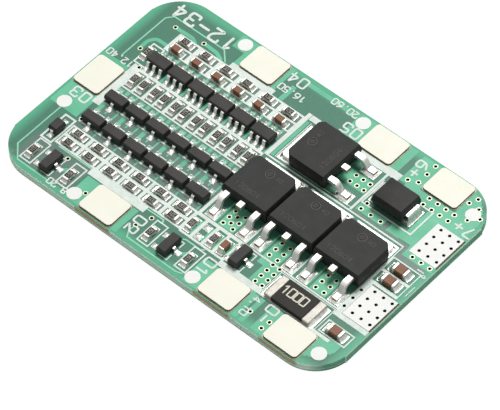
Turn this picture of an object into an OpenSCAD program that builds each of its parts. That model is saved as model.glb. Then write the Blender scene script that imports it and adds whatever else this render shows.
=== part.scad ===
// Battery management board for a six-cell pack.
// A scored and routed laminate carries soldered nickel tabs, bare load pads,
// six identical cell channels and a power stage of four surface-mount MOSFETs.
// X runs along the long side, Y along the short side, Z up; the origin is the
// centre of the underside. The laminate's length and width are the sum of the
// rows and columns of parts that it carries.

/* [Board] */
// Thickness of the laminate
board_t = 1.2; // [0.8:0.1:1.6]
// Radius of the routed corners
corner_r = 5; // [4:0.1:5.8]
// Length of the scored stretch of each short side
side_l = 23; // [21.5:0.5:24.5]
// Depth of the V score from each face
score_t = 0.3; // [0.2:0.05:0.35]
// How far the face edges stand back from the scored web
score_in = 0.15; // [0.05:0.05:0.3]
// Margin from a short side to the nearest metal
edge_x = 0.45; // [0.45:0.05:1]
// Margin from a long side to the nearest metal
edge_y = 0.25; // [0.2:0.05:0.8]
// Thickness of the tinned lands
land_t = 0.05; // [0.03:0.01:0.1]

/* [Plated holes] */
// Radius of a finished hole
via_r = 0.2; // [0.14:0.01:0.22]
// Thickness of the plating in a hole
via_wall = 0.04; // [0.02:0.01:0.05]
// Radius of the ring round a hole
ring_r = 0.31; // [0.3:0.01:0.4]
// Thickness of a ring
ring_t = 0.03; // [0.02:0.01:0.05]

/* [Tabs and pads] */
// Length of a nickel tab along its board edge
tab_l = 4.85; // [4:0.05:5.2]
// Width of a nickel tab across its board edge
tab_w = 3.9; // [3.5:0.05:4.2]
// Thickness of a nickel tab
tab_t = 0.25; // [0.15:0.05:0.4]
// Corner radius of a nickel tab
tab_r = 0.5; // [0.2:0.05:0.6]
// Rim of tinned land round a nickel tab
tab_rim = 0.12; // [0.05:0.01:0.15]
// Distance of the middle tabs from the board's centre line
tab_pitch = 9; // [8:0.1:9.3]
// Distance of the end tabs from the +X side
tab_inset = 6.45; // [6.2:0.05:6.7]
// Width of a load pad
load_w = 3.8; // [3.4:0.1:4.2]
// Length of a load pad
load_l = 5; // [4.6:0.1:5.3]
// Spacing of the holes in a load pad
load_pitch = 1.25; // [1:0.05:1.35]
// Radius of a test pad
test_r = 0.9; // [0.7:0.05:0.95]

/* [Cell channels] */
// Length of a cell monitor case
ic_l = 2.9; // [2.8:0.1:3.2]
// Width of a cell monitor case
ic_w = 1.6; // [1.5:0.05:1.7]
// Height of a cell monitor case
ic_h = 1.05; // [0.9:0.05:1.3]
// Height of a cell monitor's leads where they leave the case
ic_rise = 0.75; // [0.5:0.05:0.75]
// Cell monitor, foot tip to foot tip
ic_span = 2.8; // [2.6:0.05:3]
// Gap between neighbouring channels
chan_gap = 0.3; // [0.2:0.05:0.8]
// Length of a small transistor case
sot_l = 2.9; // [2.7:0.05:2.9]
// Width of a small transistor case
sot_w = 1.35; // [1.2:0.05:1.5]
// Height of a small transistor case
sot_h = 0.95; // [0.85:0.05:1.1]
// Height of a small transistor's leads where they leave the case
sot_rise = 0.5; // [0.4:0.05:0.65]
// Small transistor, foot tip to foot tip
sot_span = 2.5; // [2.3:0.05:2.7]
// Spacing of the leads of both small cases
lead_pitch = 0.95; // [0.9:0.01:1]
// Width of a small lead
lead_w = 0.4; // [0.3:0.05:0.5]
// Thickness of a small lead
lead_t = 0.13; // [0.1:0.01:0.16]

/* [Chips] */
// Length of a chip resistor or small capacitor
chip_l = 1.6; // [1.5:0.05:1.7]
// Width of a chip resistor or small capacitor
chip_w = 0.8; // [0.7:0.05:0.9]
// Height of a chip resistor
res_h = 0.45; // [0.35:0.05:0.55]
// Height of a small capacitor
cap_h = 0.75; // [0.6:0.05:0.9]
// Length of a chip's end terminal
end_l = 0.3; // [0.2:0.05:0.4]
// Length of a filter capacitor
filter_l = 2; // [1.9:0.05:2.2]
// Width of a filter capacitor
filter_w = 1.15; // [1.1:0.05:1.4]
// Height of a filter capacitor
filter_h = 0.65; // [0.6:0.05:1.25]
// Length of a filter capacitor's end terminal
filter_end = 0.45; // [0.3:0.05:0.6]
// Half the distance between the two resistors of an upright pair
pair_half = 0.73; // [0.65:0.01:0.76]

/* [MOSFETs] */
// Width of a MOSFET case across its leads
fet_w = 6.6; // [6.4:0.1:6.8]
// Length of a MOSFET case
fet_l = 6; // [5.8:0.1:6.2]
// Height of a MOSFET case
fet_h = 2.2; // [2:0.1:2.5]
// Corner chamfer of the case at its heat tab
fet_cut = 0.9; // [0.4:0.1:1]
// Length of the heat tab beyond the case
slug_out = 1; // [0.8:0.1:1.2]
// Width of the heat tab
slug_w = 5.3; // [5:0.1:5.6]
// Thickness of the lead frame
frame_t = 0.5; // [0.4:0.05:0.55]
// Reach of a lead beyond the case
fet_reach = 2.9; // [2.7:0.1:3.1]
// Width of a MOSFET lead
fet_lead_w = 0.76; // [0.6:0.02:0.9]
// Distance of an outer lead from the case's centre line
fet_lead_x = 2.286; // [2.2:0.01:2.35]
// Straight run of an outer lead before it bends down
fet_run = 1.15; // [0.9:0.05:1.2]
// Length of the flat foot of an outer lead
fet_foot = 1.05; // [0.9:0.05:1.1]
// Height of the lead's centre line where it leaves the case
fet_rise = 1.4; // [1.2:0.05:1.5]
// Length of the cropped middle lead
stub_l = 0.9; // [0.4:0.1:1.2]
// Radius of the ejector mark on the case
mark_r = 0.5; // [0.3:0.05:0.7]
// Gap between neighbouring MOSFETs
fet_gap = 0.2; // [0.15:0.05:0.6]

/* [Shunt and diodes] */
// Length of the shunt resistor
shunt_l = 6.4; // [6.2:0.1:6.5]
// Width of the shunt resistor
shunt_w = 3.25; // [3:0.05:3.4]
// Height of the shunt resistor
shunt_h = 0.6; // [0.5:0.05:0.8]
// Length of the shunt's end terminal
shunt_end = 0.95; // [0.6:0.05:1.2]
// Length of the power diode case
diode_l = 4.4; // [4.1:0.1:4.6]
// Width of the power diode case
diode_w = 3.5; // [3.3:0.1:3.9]
// Height of the power diode case
diode_h = 2.1; // [1.9:0.1:2.4]
// Power diode, over its terminals
diode_span = 5.4; // [5.2:0.1:5.6]
// Width of a power diode terminal
diode_lead_w = 2.1; // [1.9:0.1:2.3]
// Thickness of a power diode terminal
diode_lead_t = 0.2; // [0.15:0.05:0.3]
// Length of a terminal's fold under the power diode
diode_fold = 1.3; // [1:0.1:1.5]
// Length of the small diode case
sod_l = 1.65; // [1.6:0.05:1.8]
// Width of the small diode case
sod_w = 1.3; // [1.15:0.05:1.35]
// Height of the small diode case
sod_h = 0.95; // [0.8:0.05:1.1]
// Small diode, foot tip to foot tip
sod_span = 2.5; // [2.4:0.05:2.7]

/* [Spacing] */
// Gap between the -X tab and the first channel
side_gap = 1.05; // [1:0.05:1.4]
// Gap before and after the MOSFET block
block_gap = 0.7; // [0.6:0.05:1.2]
// Gap between rows of chips
chip_gap = 0.8; // [0.6:0.05:1.2]
// Gap between rows of leaded parts
lead_gap = 1.3; // [1:0.05:1.8]
// Gap over the lower tabs
low_gap = 1.45; // [1.3:0.05:2]
// Gap between the flat resistors and the transistors
res_gap = 0.93; // [0.7:0.01:1.5]
// Gap for traces between the transistors and the upright resistors
trace_gap = 1.7; // [1.2:0.05:2.4]
// Gap between the cell monitors and the capacitors
ic_gap = 1; // [0.8:0.05:1.5]
// Gap under the upper tabs
high_gap = 1.1; // [0.8:0.05:1.6]
// Gap between the tabs and the shunt
shunt_gap = 0.33; // [0.25:0.01:0.8]
// Gap between the shunt and the tips of the MOSFET leads
tip_gap = 1.2; // [1:0.05:1.6]
// Gap between the MOSFET row and the turned MOSFET
turn_gap = 0.85; // [0.6:0.05:1.4]
// Gap between the turned MOSFET and the upper tabs
turn_high = 0.82; // [0.7:0.01:1.2]
// Gap between the last channel and the turned MOSFET's heat tab
turn_side = 1.95; // [1.7:0.05:2]
// Gap between the turned MOSFET's lead tips and the power diode
diode_gap = 1.95; // [1.8:0.05:2.2]
// Gap between the lower tabs and the first filter capacitor
filter_low_gap = 1.07; // [1:0.01:1.2]
// Gap between the first filter capacitor and the minus pad
minus_gap = 1.93; // [1.8:0.01:2.1]
// Gap between the minus pad and the second filter capacitor
filter_mid_gap = 0.92; // [0.8:0.01:1]
// Gap between the second and third filter capacitors
filter_gap = 0.75; // [0.5:0.05:0.9]
// Gap between the third filter capacitor and the plus pad
plus_gap = 2.27; // [2:0.01:2.4]
// Spacing of the small parts under the MOSFETs
small_pitch = 1.65; // [1.5:0.05:1.7]
// Distance from a gate transistor to the resistor on each side of it
trio_pitch = 2.85; // [2.7:0.05:3]

/* [Hidden] */
$fn = 48;

cells = 6;
top_z = board_t + land_t;
// Draft of a moulded case below its leads, and of a MOSFET case above them, in degrees
draft = 12;
fet_draft = 20;
// Corner cut of the heat tab, and how far the slug ends short of the case's lead side
slug_cut = 0.5;
slug_back = 1.6;
// Ejector mark: distance from the heat tab side, and depth
mark_in = 1.5;
mark_t = 0.06;
// Straight run and foot of a small gull-wing lead
small_run = 0.16;
small_foot = 0.28;
// Lands: length under a small foot and under a chip's end, and margins beside and beyond the metal
foot_land = 0.8;
chip_land = 0.8;
foot_side = 0.125;
chip_side = 0.05;
land_out = 0.3;
// How far a chip's terminals stand proud of its body
proud = 0.02;
via_out = via_r + via_wall;
seat_gap = 0.06;

// Columns, from the -X side to the +X side
chan_pitch = ic_l + chan_gap;
chan_block = cells * ic_l + (cells - 1) * chan_gap;
fet_pitch = fet_w + fet_gap;
fet_block = 3 * fet_w + 2 * fet_gap;
board_l = 2 * edge_x + tab_w + side_gap + chan_block + 2 * block_gap + fet_block + load_w;
x_low = -board_l / 2;
x_high = board_l / 2;
chan_0 = x_low + edge_x + tab_w + side_gap + ic_l / 2;
chan_x = [for (i = [0:cells - 1]) chan_0 + i * chan_pitch];
chan_end = chan_x[cells - 1] + ic_l / 2;
fet_x = [for (i = [0:2]) chan_end + block_gap + fet_w / 2 + i * fet_pitch];
fet_end = fet_x[2] + fet_w / 2;
load_x = x_high - edge_x - load_w / 2;
side_off = 0.95;
diode_side = 0.15;
side_x = chan_x[0] - ic_l / 2 - side_off;
side_diode_x = side_x - diode_side;

// Rows, from the -Y side to the +Y side: the cell channels, then the power stage
fet_span = slug_out + fet_l + fet_reach;
chan_rows = low_gap + 2 * chip_w + chip_gap + res_gap + 2 * sot_span + lead_gap + trace_gap
    + chip_l + lead_gap + ic_span + ic_gap + 2 * chip_w + chip_gap + high_gap;
power_rows = shunt_gap + shunt_w + tip_gap + fet_span + turn_gap + fet_w + turn_high;
board_w = 2 * (edge_y + tab_w) + max(chan_rows, power_rows);
y_low = -board_w / 2;
y_high = board_w / 2;
tab_low_y = y_low + edge_y + tab_w / 2;
tab_high_y = y_high - edge_y - tab_w / 2;
rows_y = tab_low_y + tab_w / 2;
rows_high_y = tab_high_y - tab_w / 2;
flat_low_y = rows_y + low_gap + chip_w / 2;
flat_high_y = flat_low_y + chip_w + chip_gap;
switch_y = flat_high_y + chip_w / 2 + res_gap + sot_span / 2;
driver_y = switch_y + sot_span + lead_gap;
pair_y = driver_y + sot_span / 2 + trace_gap + chip_l / 2;
monitor_y = pair_y + chip_l / 2 + lead_gap + ic_span / 2;
cap_y = monitor_y + ic_span / 2 + ic_gap + chip_w / 2;
res_y = cap_y + chip_w + chip_gap;
shunt_y = rows_y + shunt_gap + shunt_w / 2;
shunt_back = 0.9;
shunt_x = fet_end - shunt_back - shunt_l / 2;
fet_tip_y = shunt_y + shunt_w / 2 + tip_gap;
fet_y = fet_tip_y + fet_reach + fet_l / 2;
turned_y = fet_y + fet_l / 2 + slug_out + turn_gap + fet_w / 2;
turned_x = chan_end + turn_side + slug_out + fet_l / 2;
turned_tip_x = turned_x + fet_l / 2 + fet_reach;
diode_up = 0.4;
diode_x = turned_tip_x + diode_gap + diode_span / 2;
diode_y = turned_y + diode_up;

// Right column: a capacitor, the minus pad, two capacitors and the plus pad
filter_in = 0.6;
filter_x = load_x - filter_in;
filter_low_y = rows_y + filter_low_gap + filter_w / 2;
load_minus_y = filter_low_y + filter_w / 2 + minus_gap + load_l / 2;
filter_mid_y = load_minus_y + load_l / 2 + filter_mid_gap + filter_w / 2;
filter_high_y = filter_mid_y + filter_w + filter_gap;
load_plus_y = filter_high_y + filter_w / 2 + plus_gap + load_l / 2;

// Small parts under the MOSFETs, and two groups of three between the lower tabs
small_off = 1;
gate_off = 2.3;
trio_off = 1.15;
trio_up = 0.45;
small_x = [for (i = [0:3]) chan_end + small_off + i * small_pitch];
small_up = 0.05;
small_y = (rows_y + fet_tip_y) / 2 + small_up;
gate_x = small_x[3] + gate_off;
trio_x = [side_x + trio_pitch, chan_end + trio_off];
trio_y = tab_low_y + trio_up;
side_res_y = monitor_y + chip_w / 2;
side_diode_y = (flat_low_y + flat_high_y) / 2;

// Centre and turn of every chip, in the order of its row
resistors = concat(
    [for (x = chan_x) [x, res_y, 0]],
    [for (x = chan_x, s = [-1, 1]) [x + s * pair_half, pair_y, 90]],
    [for (x = chan_x, y = [flat_high_y, flat_low_y]) [x, y, 0]],
    [[small_x[0], small_y, 90], [small_x[2], small_y, 90], [side_x, side_res_y, 90]],
    [for (x = trio_x, s = [-1, 1]) [x + s * trio_pitch, trio_y, 90]]);
capacitors = concat([for (x = chan_x) [x, cap_y, 0]], [[small_x[3], small_y, 90]]);
filters = [for (y = [filter_low_y, filter_mid_y, filter_high_y]) [filter_x, y, 0]];
empty_place = [small_x[1], small_y, 90];
gates = [[trio_x[0], trio_y], [trio_x[1], trio_y], [gate_x, small_y]];

// Centre of every nickel tab, the pack's minus end first, and whether it is turned
tabs = [[x_high - tab_inset, tab_low_y, 0], [tab_pitch, tab_low_y, 0], [-tab_pitch, tab_low_y, 0],
    [x_low + edge_x + tab_w / 2, 0, 90], [-tab_pitch, tab_high_y, 0], [tab_pitch, tab_high_y, 0],
    [x_high - tab_inset, tab_high_y, 0]];

// Each tab has a round test pad beside it
test_gap = 0.55;
test_off = tab_l / 2 + test_gap + test_r;
test_edge = y_high - edge_y - tab_rim - test_r;
plus_test = [tabs[6].x + test_off + 0.5, test_edge - 2];
tests = [[tabs[0].x + test_off, -test_edge + 1.3], [tabs[1].x - test_off, -test_edge],
    [tabs[2].x - test_off, -test_edge], [tabs[3].x - 0.35, -test_off - 1.5],
    [tabs[4].x - test_off, test_edge], [tabs[5].x - test_off, test_edge], plus_test];

// A grid of nx by ny points round a centre
function grid(c, nx, ny, px, py) =
    [for (j = [0:ny - 1], i = [0:nx - 1]) [c.x + (i - (nx - 1) / 2) * px, c.y + (j - (ny - 1) / 2) * py]];

// Plated holes: in the load pads, between the leads of each MOSFET, and singly along the traces
load_minus_holes = grid([load_x + 0.2, load_minus_y + 0.13], 3, 4, load_pitch, load_pitch);
load_plus_holes = grid([load_x + 0.2, load_plus_y + 0.13], 3, 4, load_pitch, load_pitch);
fet_hole_y = fet_tip_y + 1.2;
rim_holes = [for (a = [-90, 0, 90]) plus_test + (test_r + 0.1) * [cos(a), sin(a)]];
ring_vias = concat(
    grid([load_x + 0.2, load_plus_y - load_l / 2 - 0.4], 3, 1, load_pitch, 1),
    grid([load_x - load_w / 2 - 0.46, load_minus_y - 0.17], 1, 3, 1, 1.42),
    grid([fet_x[0] + 0.1, fet_hole_y], 2, 3, 1.45, 1.05),
    grid([fet_x[0] + 0.1, fet_hole_y], 1, 2, 1, 1.05),
    grid([fet_x[1] + 0.1, fet_hole_y], 2, 3, 1.2, 1.05),
    grid([fet_x[1] + 1.2, small_y + 0.25], 2, 4, 1, 0.97),
    grid([fet_x[2] + 0.1, fet_hole_y], 2, 3, 1.2, 1.05),
    grid([turned_tip_x - 0.6, turned_y + 0.3], 3, 2, 1.02, 1.1),
    grid([turned_tip_x + 3.3, turned_y - 2.4], 3, 1, 1.42, 1),
    grid([tabs[6].x + 1, rows_high_y - 1.05], 4, 2, 1.2, 1.1),
    grid([tabs[6].x - tab_l / 2 - 0.8, tab_high_y], 1, 3, 1, 1.5),
    rim_holes,
    [[plus_test.x - 0.95, plus_test.y + 2.05], [plus_test.x - 1.4, plus_test.y + 1],
        [tabs[6].x - tab_l / 2 - 1.95, rows_high_y - 0.05], [turned_tip_x + 1.9, turned_y - 1.4],
        [chan_x[0] - 2.65, res_y + 1.1], [chan_x[0] + 1.55, res_y + 1.4],
        [chan_x[0] - 3.6, monitor_y + 0.5], [chan_x[0] - 1.72, monitor_y - 1.7],
        [chan_x[0] - 1.5, switch_y - 0.55],
        [chan_x[0] + 1.35, rows_y + 0.25], [tabs[2].x - tab_l / 2 - 0.5, tab_low_y - 0.1],
        [trio_x[1] - trio_pitch - 1.4, rows_y + 0.2], [trio_x[1] - trio_pitch - 2.1, trio_y - 0.15],
        [tabs[1].x + tab_l / 2 + 1.65, tab_low_y - 0.25], [tabs[0].x - tab_l / 2 - 0.55, tab_low_y],
        [tabs[0].x - tab_l / 2 - 0.7, tab_low_y - 1.15]]);
all_holes = concat(load_minus_holes, load_plus_holes, ring_vias);

function unit(v) = v / norm(v);
function wrap(a) = a > 180 ? a - 360 : a < -180 ? a + 360 : a;

// Arc of radius r that rounds the corner b of the path a, b, c
function bend(a, b, c, r, n = 4) =
    let (u = unit(a - b), v = unit(c - b), half = acos(u * v) / 2,
        m = b + unit(u + v) * r / sin(half), s = b + u * r / tan(half) - m, e = b + v * r / tan(half) - m,
        from = atan2(s.y, s.x), sweep = wrap(atan2(e.y, e.x) - from))
    [for (k = [0:n]) m + r * [cos(from + sweep * k / n), sin(from + sweep * k / n)]];

// Centre line with all its inner corners rounded
function rounded(p, r) = concat([p[0]],
    [for (i = [1:len(p) - 2], q = bend(p[i - 1], p[i], p[i + 1], r)) q], [p[len(p) - 1]]);

// Outline of a strip of thickness t along a centre line
function strip(c, t) =
    let (n = len(c) - 1,
        side = [for (i = [0:n]) let (d = unit(c[min(i + 1, n)] - c[max(i - 1, 0)])) [-d.y, d.x] * t / 2])
    concat([for (i = [0:n]) c[i] + side[i]], [for (i = [n:-1:0]) c[i] - side[i]]);

// Section of a moulded case: a straight band where the leads leave, drafted above and below it
function case_section(l, h, band_z, band, top_draft) =
    let (low = tan(draft) * band_z, high = tan(top_draft) * (h - band_z - band))
    [[low - l / 2, 0], [l / 2 - low, 0], [l / 2, band_z], [l / 2, band_z + band],
        [l / 2 - high, h], [high - l / 2, h], [-l / 2, band_z + band], [-l / 2, band_z]];

module place(p) {
    translate([p.x, p.y, top_z]) rotate([0, 0, p.z == undef ? 0 : p.z]) children();
}

module block(l, w, h) {
    translate([-l / 2, -w / 2, 0]) cube([l, w, h]);
}

module rounded_plate(l, w, h, r) {
    linear_extrude(h) {
        square([l - 2 * r, w], center = true);
        square([l, w - 2 * r], center = true);
        for (x = [-1, 1], y = [-1, 1]) translate([x * (l / 2 - r), y * (w / 2 - r)]) circle(r);
    }
}

module moulded_case(l, w, h, band_z, band, top_draft = draft) {
    intersection() {
        rotate([90, 0, 0]) linear_extrude(w + 1, center = true)
            polygon(case_section(l, h, band_z, band, top_draft));
        rotate([90, 0, 90]) linear_extrude(l + 1, center = true)
            polygon(case_section(w, h, band_z, band, top_draft));
    }
}

// Gull-wing lead: leaves a case at y = 0 and height rise, bends down and ends in a flat foot
module gull_wing(reach, rise, t, w, run, foot) {
    line = [[0, rise], [run, rise], [reach - foot, t / 2], [reach, t / 2]];
    rotate([90, 0, 90]) linear_extrude(w, center = true) polygon(strip(rounded(line, t * 0.8), t));
}

// The routed outline; the scored sides stay straight and step in to the corner arcs
module board_face() {
    l = board_l - 2 * score_in;
    square([l - 2 * corner_r, board_w], center = true);
    square([l, board_w - 2 * corner_r], center = true);
    square([l, side_l], center = true);
    for (x = [-1, 1], y = [-1, 1])
        translate([x * (l / 2 - corner_r), y * (board_w / 2 - corner_r)]) circle(corner_r);
}

// The web that is left between the two V scores of a short side
module score_web() {
    x = board_l / 2;
    rotate([90, 0, 0]) linear_extrude(side_l, center = true)
        polygon([[x - 2 * score_in, 0], [x - score_in, 0], [x, score_t], [x, board_t - score_t],
            [x - score_in, board_t], [x - 2 * score_in, board_t]]);
}

module circuit_board() {
    color("seagreen") difference() {
        union() {
            linear_extrude(board_t) board_face();
            score_web();
            mirror([1, 0, 0]) score_web();
        }
        for (p = all_holes) translate([p.x, p.y, -1]) {
            cylinder(h = board_t + 2, r = via_out);
            cylinder(h = 1 + ring_t, r = ring_r);
        }
    }
}

// Copper barrel of a plated hole: a ring let into the underside, and one of radius r on top
module barrel(r) {
    top = r > via_out ? board_t + ring_t : board_t;
    rotate_extrude() polygon(concat([[via_r, 0], [ring_r, 0], [ring_r, ring_t], [via_out, ring_t],
        [via_out, board_t]], r > via_out ? [[r, board_t], [r, top]] : [], [[via_r, top]]));
}

module plated_vias() {
    color("darkkhaki") {
        for (p = ring_vias) translate(p) barrel(ring_r);
        for (p = concat(load_minus_holes, load_plus_holes)) translate(p) barrel(via_out);
    }
}

module load_pad(y, holes) {
    color("gainsboro") difference() {
        translate([load_x, y, board_t]) block(load_w, load_l, land_t);
        for (p = holes) translate([p.x, p.y, board_t - 1]) cylinder(h = 2, r = via_r);
    }
}

module load_pad_minus() {
    load_pad(load_minus_y, load_minus_holes);
}

module load_pad_plus() {
    load_pad(load_plus_y, load_plus_holes);
}

module tab_lands() {
    color("silver") for (p = tabs)
        translate([0, 0, -land_t]) place(p)
            rounded_plate(tab_l + 2 * tab_rim, tab_w + 2 * tab_rim, land_t, tab_r);
}

// The plus test pad is relieved where holes stand on its rim
module test_pads() {
    color("gainsboro") difference() {
        for (p = tests) translate([p.x, p.y, board_t]) cylinder(h = land_t, r = test_r);
        for (p = rim_holes) translate([p.x, p.y, board_t - 1]) cylinder(h = 2, r = ring_r + 0.02);
    }
}

// Two lands under the ends of a chip
module chip_lands(p, l, w) {
    place(p) for (s = [-1, 1]) translate([s * (l / 2 - chip_side), 0, -land_t])
        block(chip_land, w + 2 * chip_side, land_t);
}

// Three feet on one side, three or a single one on the other
module row_lands(span, w) {
    for (x = [-1, 0, 1]) translate([x * lead_pitch, span / 2, -land_t]) block(w, foot_land, land_t);
}

module sot_lands() {
    w = lead_w + 2 * foot_side;
    translate([0, -sot_span / 2, -land_t]) block(w, foot_land, land_t);
    for (s = [-1, 1]) translate([s * lead_pitch, sot_span / 2, -land_t]) block(w, foot_land, land_t);
}

module fet_lands() {
    foot_w = 2 * fet_lead_w;
    foot_l = 2 * fet_foot;
    for (s = [-1, 1]) translate([s * fet_lead_x, foot_l / 2 - fet_l / 2 - fet_reach - land_out, -land_t])
        block(foot_w, foot_l, land_t);
    translate([0, slug_out + land_out, -land_t]) block(slug_w + 2 * land_out, fet_l, land_t);
}

module component_lands() {
    color("silver") {
        for (p = concat(resistors, capacitors, [empty_place])) chip_lands(p, chip_l, chip_w);
        for (p = filters) chip_lands(p, filter_l + 0.2, filter_w);
        for (x = chan_x) {
            place([x, monitor_y]) {
                row_lands(ic_span, lead_w + 2 * chip_side);
                mirror([0, 1, 0]) row_lands(ic_span, lead_w + 2 * chip_side);
            }
            for (y = [driver_y, switch_y]) place([x, y]) sot_lands();
        }
        for (p = gates) place([p.x, p.y, 90]) sot_lands();
        for (x = fet_x) place([x, fet_y]) fet_lands();
        place([turned_x, turned_y, 90]) fet_lands();
        for (s = [-1, 1]) {
            place([shunt_x + s * (shunt_l / 2 - 0.3), shunt_y]) translate([0, 0, -land_t])
                block(chip_l, shunt_w, land_t);
            place([diode_x + s * (diode_span / 2 - 0.5), diode_y]) translate([0, 0, -land_t])
                block(chip_l, diode_lead_w + 2 * land_out, land_t);
            place([side_diode_x, side_diode_y + s * (sod_span / 2 - 0.1)]) translate([0, 0, -land_t])
                block(lead_w + 2 * foot_side, foot_land, land_t);
        }
    }
}

module nickel_tab(i) {
    color("ivory") place(tabs[i]) rounded_plate(tab_l, tab_w, tab_t, tab_r);
}

module cell_monitor(i) {
    color("dimgray") place([chan_x[i - 1], monitor_y]) translate([0, 0, seat_gap])
        moulded_case(ic_l, ic_w, ic_h, ic_rise - seat_gap - lead_t / 2, lead_t);
}

// One small lead from a case of width w to a given foot-to-foot span
module small_lead(w, rise, span) {
    translate([0, w / 2, 0]) gull_wing((span - w) / 2, rise, lead_t, lead_w, small_run, small_foot);
}

module monitor_leads() {
    color("silver") for (x = chan_x, k = [-1, 0, 1], a = [0, 180])
        place([x, monitor_y, a]) translate([k * lead_pitch, 0, 0]) small_lead(ic_w, ic_rise, ic_span);
}

module sot_case() {
    translate([0, 0, seat_gap]) moulded_case(sot_l, sot_w, sot_h, sot_rise - seat_gap - lead_t / 2, lead_t);
}

module sot_leads() {
    rotate([0, 0, 180]) small_lead(sot_w, sot_rise, sot_span);
    for (s = [-1, 1]) translate([s * lead_pitch, 0, 0]) small_lead(sot_w, sot_rise, sot_span);
}

module balance_driver(i) {
    color("dimgray") place([chan_x[i - 1], driver_y]) sot_case();
}

module driver_leads() {
    color("silver") for (x = chan_x) place([x, driver_y]) sot_leads();
}

module balance_switch(i) {
    color("dimgray") place([chan_x[i - 1], switch_y]) sot_case();
}

module switch_leads() {
    color("silver") for (x = chan_x) place([x, switch_y]) sot_leads();
}

module gate_transistor(i) {
    color("dimgray") place([gates[i - 1].x, gates[i - 1].y, 90]) sot_case();
}

module gate_leads() {
    color("silver") for (p = gates) place([p.x, p.y, 90]) sot_leads();
}

// Copper slug of a MOSFET: it lies under the case and ends in the heat tab
module slug() {
    l = fet_l + slug_out - slug_back;
    translate([0, fet_l / 2 + slug_out - l / 2, 0]) difference() {
        block(slug_w, l, frame_t);
        for (s = [-1, 1]) translate([s * slug_w / 2, l / 2, -1]) rotate([0, 0, 45])
            block(slug_cut, slug_cut, frame_t + 2);
    }
}

module fet_case() {
    difference() {
        intersection() {
            translate([0, 0, seat_gap]) moulded_case(fet_w, fet_l, fet_h - seat_gap,
                fet_rise - frame_t / 2 - seat_gap, frame_t, fet_draft);
            linear_extrude(fet_h) polygon([[-fet_w / 2, -fet_l / 2], [fet_w / 2, -fet_l / 2],
                [fet_w / 2, fet_l / 2 - fet_cut], [fet_w / 2 - fet_cut, fet_l / 2],
                [fet_cut - fet_w / 2, fet_l / 2], [-fet_w / 2, fet_l / 2 - fet_cut]]);
        }
        slug();
        translate([0, fet_l / 2 - mark_in, fet_h - mark_t]) cylinder(h = 1, r = mark_r);
    }
}

module fet_frame() {
    slug();
    translate([0, -fet_l / 2, 0]) mirror([0, 1, 0]) {
        for (s = [-1, 1]) translate([s * fet_lead_x, 0, 0])
            gull_wing(fet_reach, fet_rise, frame_t, fet_lead_w, fet_run, fet_foot);
        translate([-fet_lead_w / 2, 0, fet_rise - frame_t / 2]) cube([fet_lead_w, stub_l, frame_t]);
    }
}

module mosfet_case(i) {
    color("darkslategray") place(i < 4 ? [fet_x[i - 1], fet_y, 0] : [turned_x, turned_y, 90]) fet_case();
}

module mosfet_frame(i) {
    color("silver") place(i < 4 ? [fet_x[i - 1], fet_y, 0] : [turned_x, turned_y, 90]) fet_frame();
}

module shunt_element() {
    color("darkslategray") place([shunt_x, shunt_y]) block(shunt_l - 2 * shunt_end, shunt_w, shunt_h);
}

module shunt_terminals() {
    color("silver") for (s = [-1, 1])
        place([shunt_x + s * (shunt_l - shunt_end) / 2, shunt_y]) block(shunt_end, shunt_w, shunt_h);
}

module power_diode_case() {
    t = diode_lead_t;
    color("darkslategray") place([diode_x, diode_y]) translate([0, 0, t + seat_gap])
        moulded_case(diode_l, diode_w, diode_h - t - seat_gap, diode_h / 2 - t - seat_gap, t);
}

// Terminals of the power diode: out of the case, down its end and folded under it
module power_diode_terminals() {
    t = diode_lead_t;
    out = (diode_span - t) / 2;
    color("silver") for (a = [0, 180]) place([diode_x, diode_y, a])
        rotate([90, 0, 0]) linear_extrude(diode_lead_w, center = true)
            polygon(strip(rounded([[diode_l / 2, diode_h / 2 + t / 2], [out, diode_h / 2 + t / 2],
                [out, t / 2], [out - diode_fold, t / 2]], t), t));
}

module small_diode_case() {
    color("dimgray") place([side_diode_x, side_diode_y, 90]) translate([0, 0, seat_gap])
        moulded_case(sod_l, sod_w, sod_h, sot_rise - seat_gap - lead_t / 2, lead_t);
}

module small_diode_leads() {
    color("silver") for (a = [0, 180]) place([side_diode_x, side_diode_y, a])
        small_lead(sod_l, sot_rise, sod_span);
}

module chip_body(p, l, w, h, end) {
    place(p) block(l - 2 * end, w, h);
}

// End terminals wrap the chip, a little proud of its body
module chip_ends(p, l, w, h, end) {
    place(p) for (s = [-1, 1]) translate([s * (l - end) / 2, 0, 0]) block(end, w + proud, h + proud);
}

module resistor_bodies() {
    color("dimgray") for (p = resistors) chip_body(p, chip_l, chip_w, res_h, end_l);
}

module resistor_terminals() {
    color("silver") for (p = resistors) chip_ends(p, chip_l, chip_w, res_h, end_l);
}

module capacitor_bodies() {
    color("sienna") for (p = capacitors) chip_body(p, chip_l, chip_w, cap_h, end_l);
}

module capacitor_terminals() {
    color("silver") for (p = capacitors) chip_ends(p, chip_l, chip_w, cap_h, end_l);
}

module filter_capacitors() {
    color("sienna") for (p = filters) chip_body(p, filter_l, filter_w, filter_h, filter_end);
}

module filter_terminals() {
    color("silver") for (p = filters) chip_ends(p, filter_l, filter_w, filter_h, filter_end);
}

circuit_board();
plated_vias();
load_pad_minus();
load_pad_plus();
tab_lands();
test_pads();
component_lands();
nickel_tab(0);  // tab_pack_minus
for (i = [1:5]) nickel_tab(i);
nickel_tab(6);  // tab_pack_plus
for (i = [1:cells]) cell_monitor(i);
monitor_leads();
for (i = [1:cells]) balance_driver(i);
driver_leads();
for (i = [1:cells]) balance_switch(i);
switch_leads();
for (i = [1:3]) gate_transistor(i);
gate_leads();
for (i = [1:4]) mosfet_case(i);
for (i = [1:4]) mosfet_frame(i);
shunt_element();
shunt_terminals();
power_diode_case();
power_diode_terminals();
small_diode_case();
small_diode_leads();
resistor_bodies();
resistor_terminals();
capacitor_bodies();
capacitor_terminals();
filter_capacitors();
filter_terminals();
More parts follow.
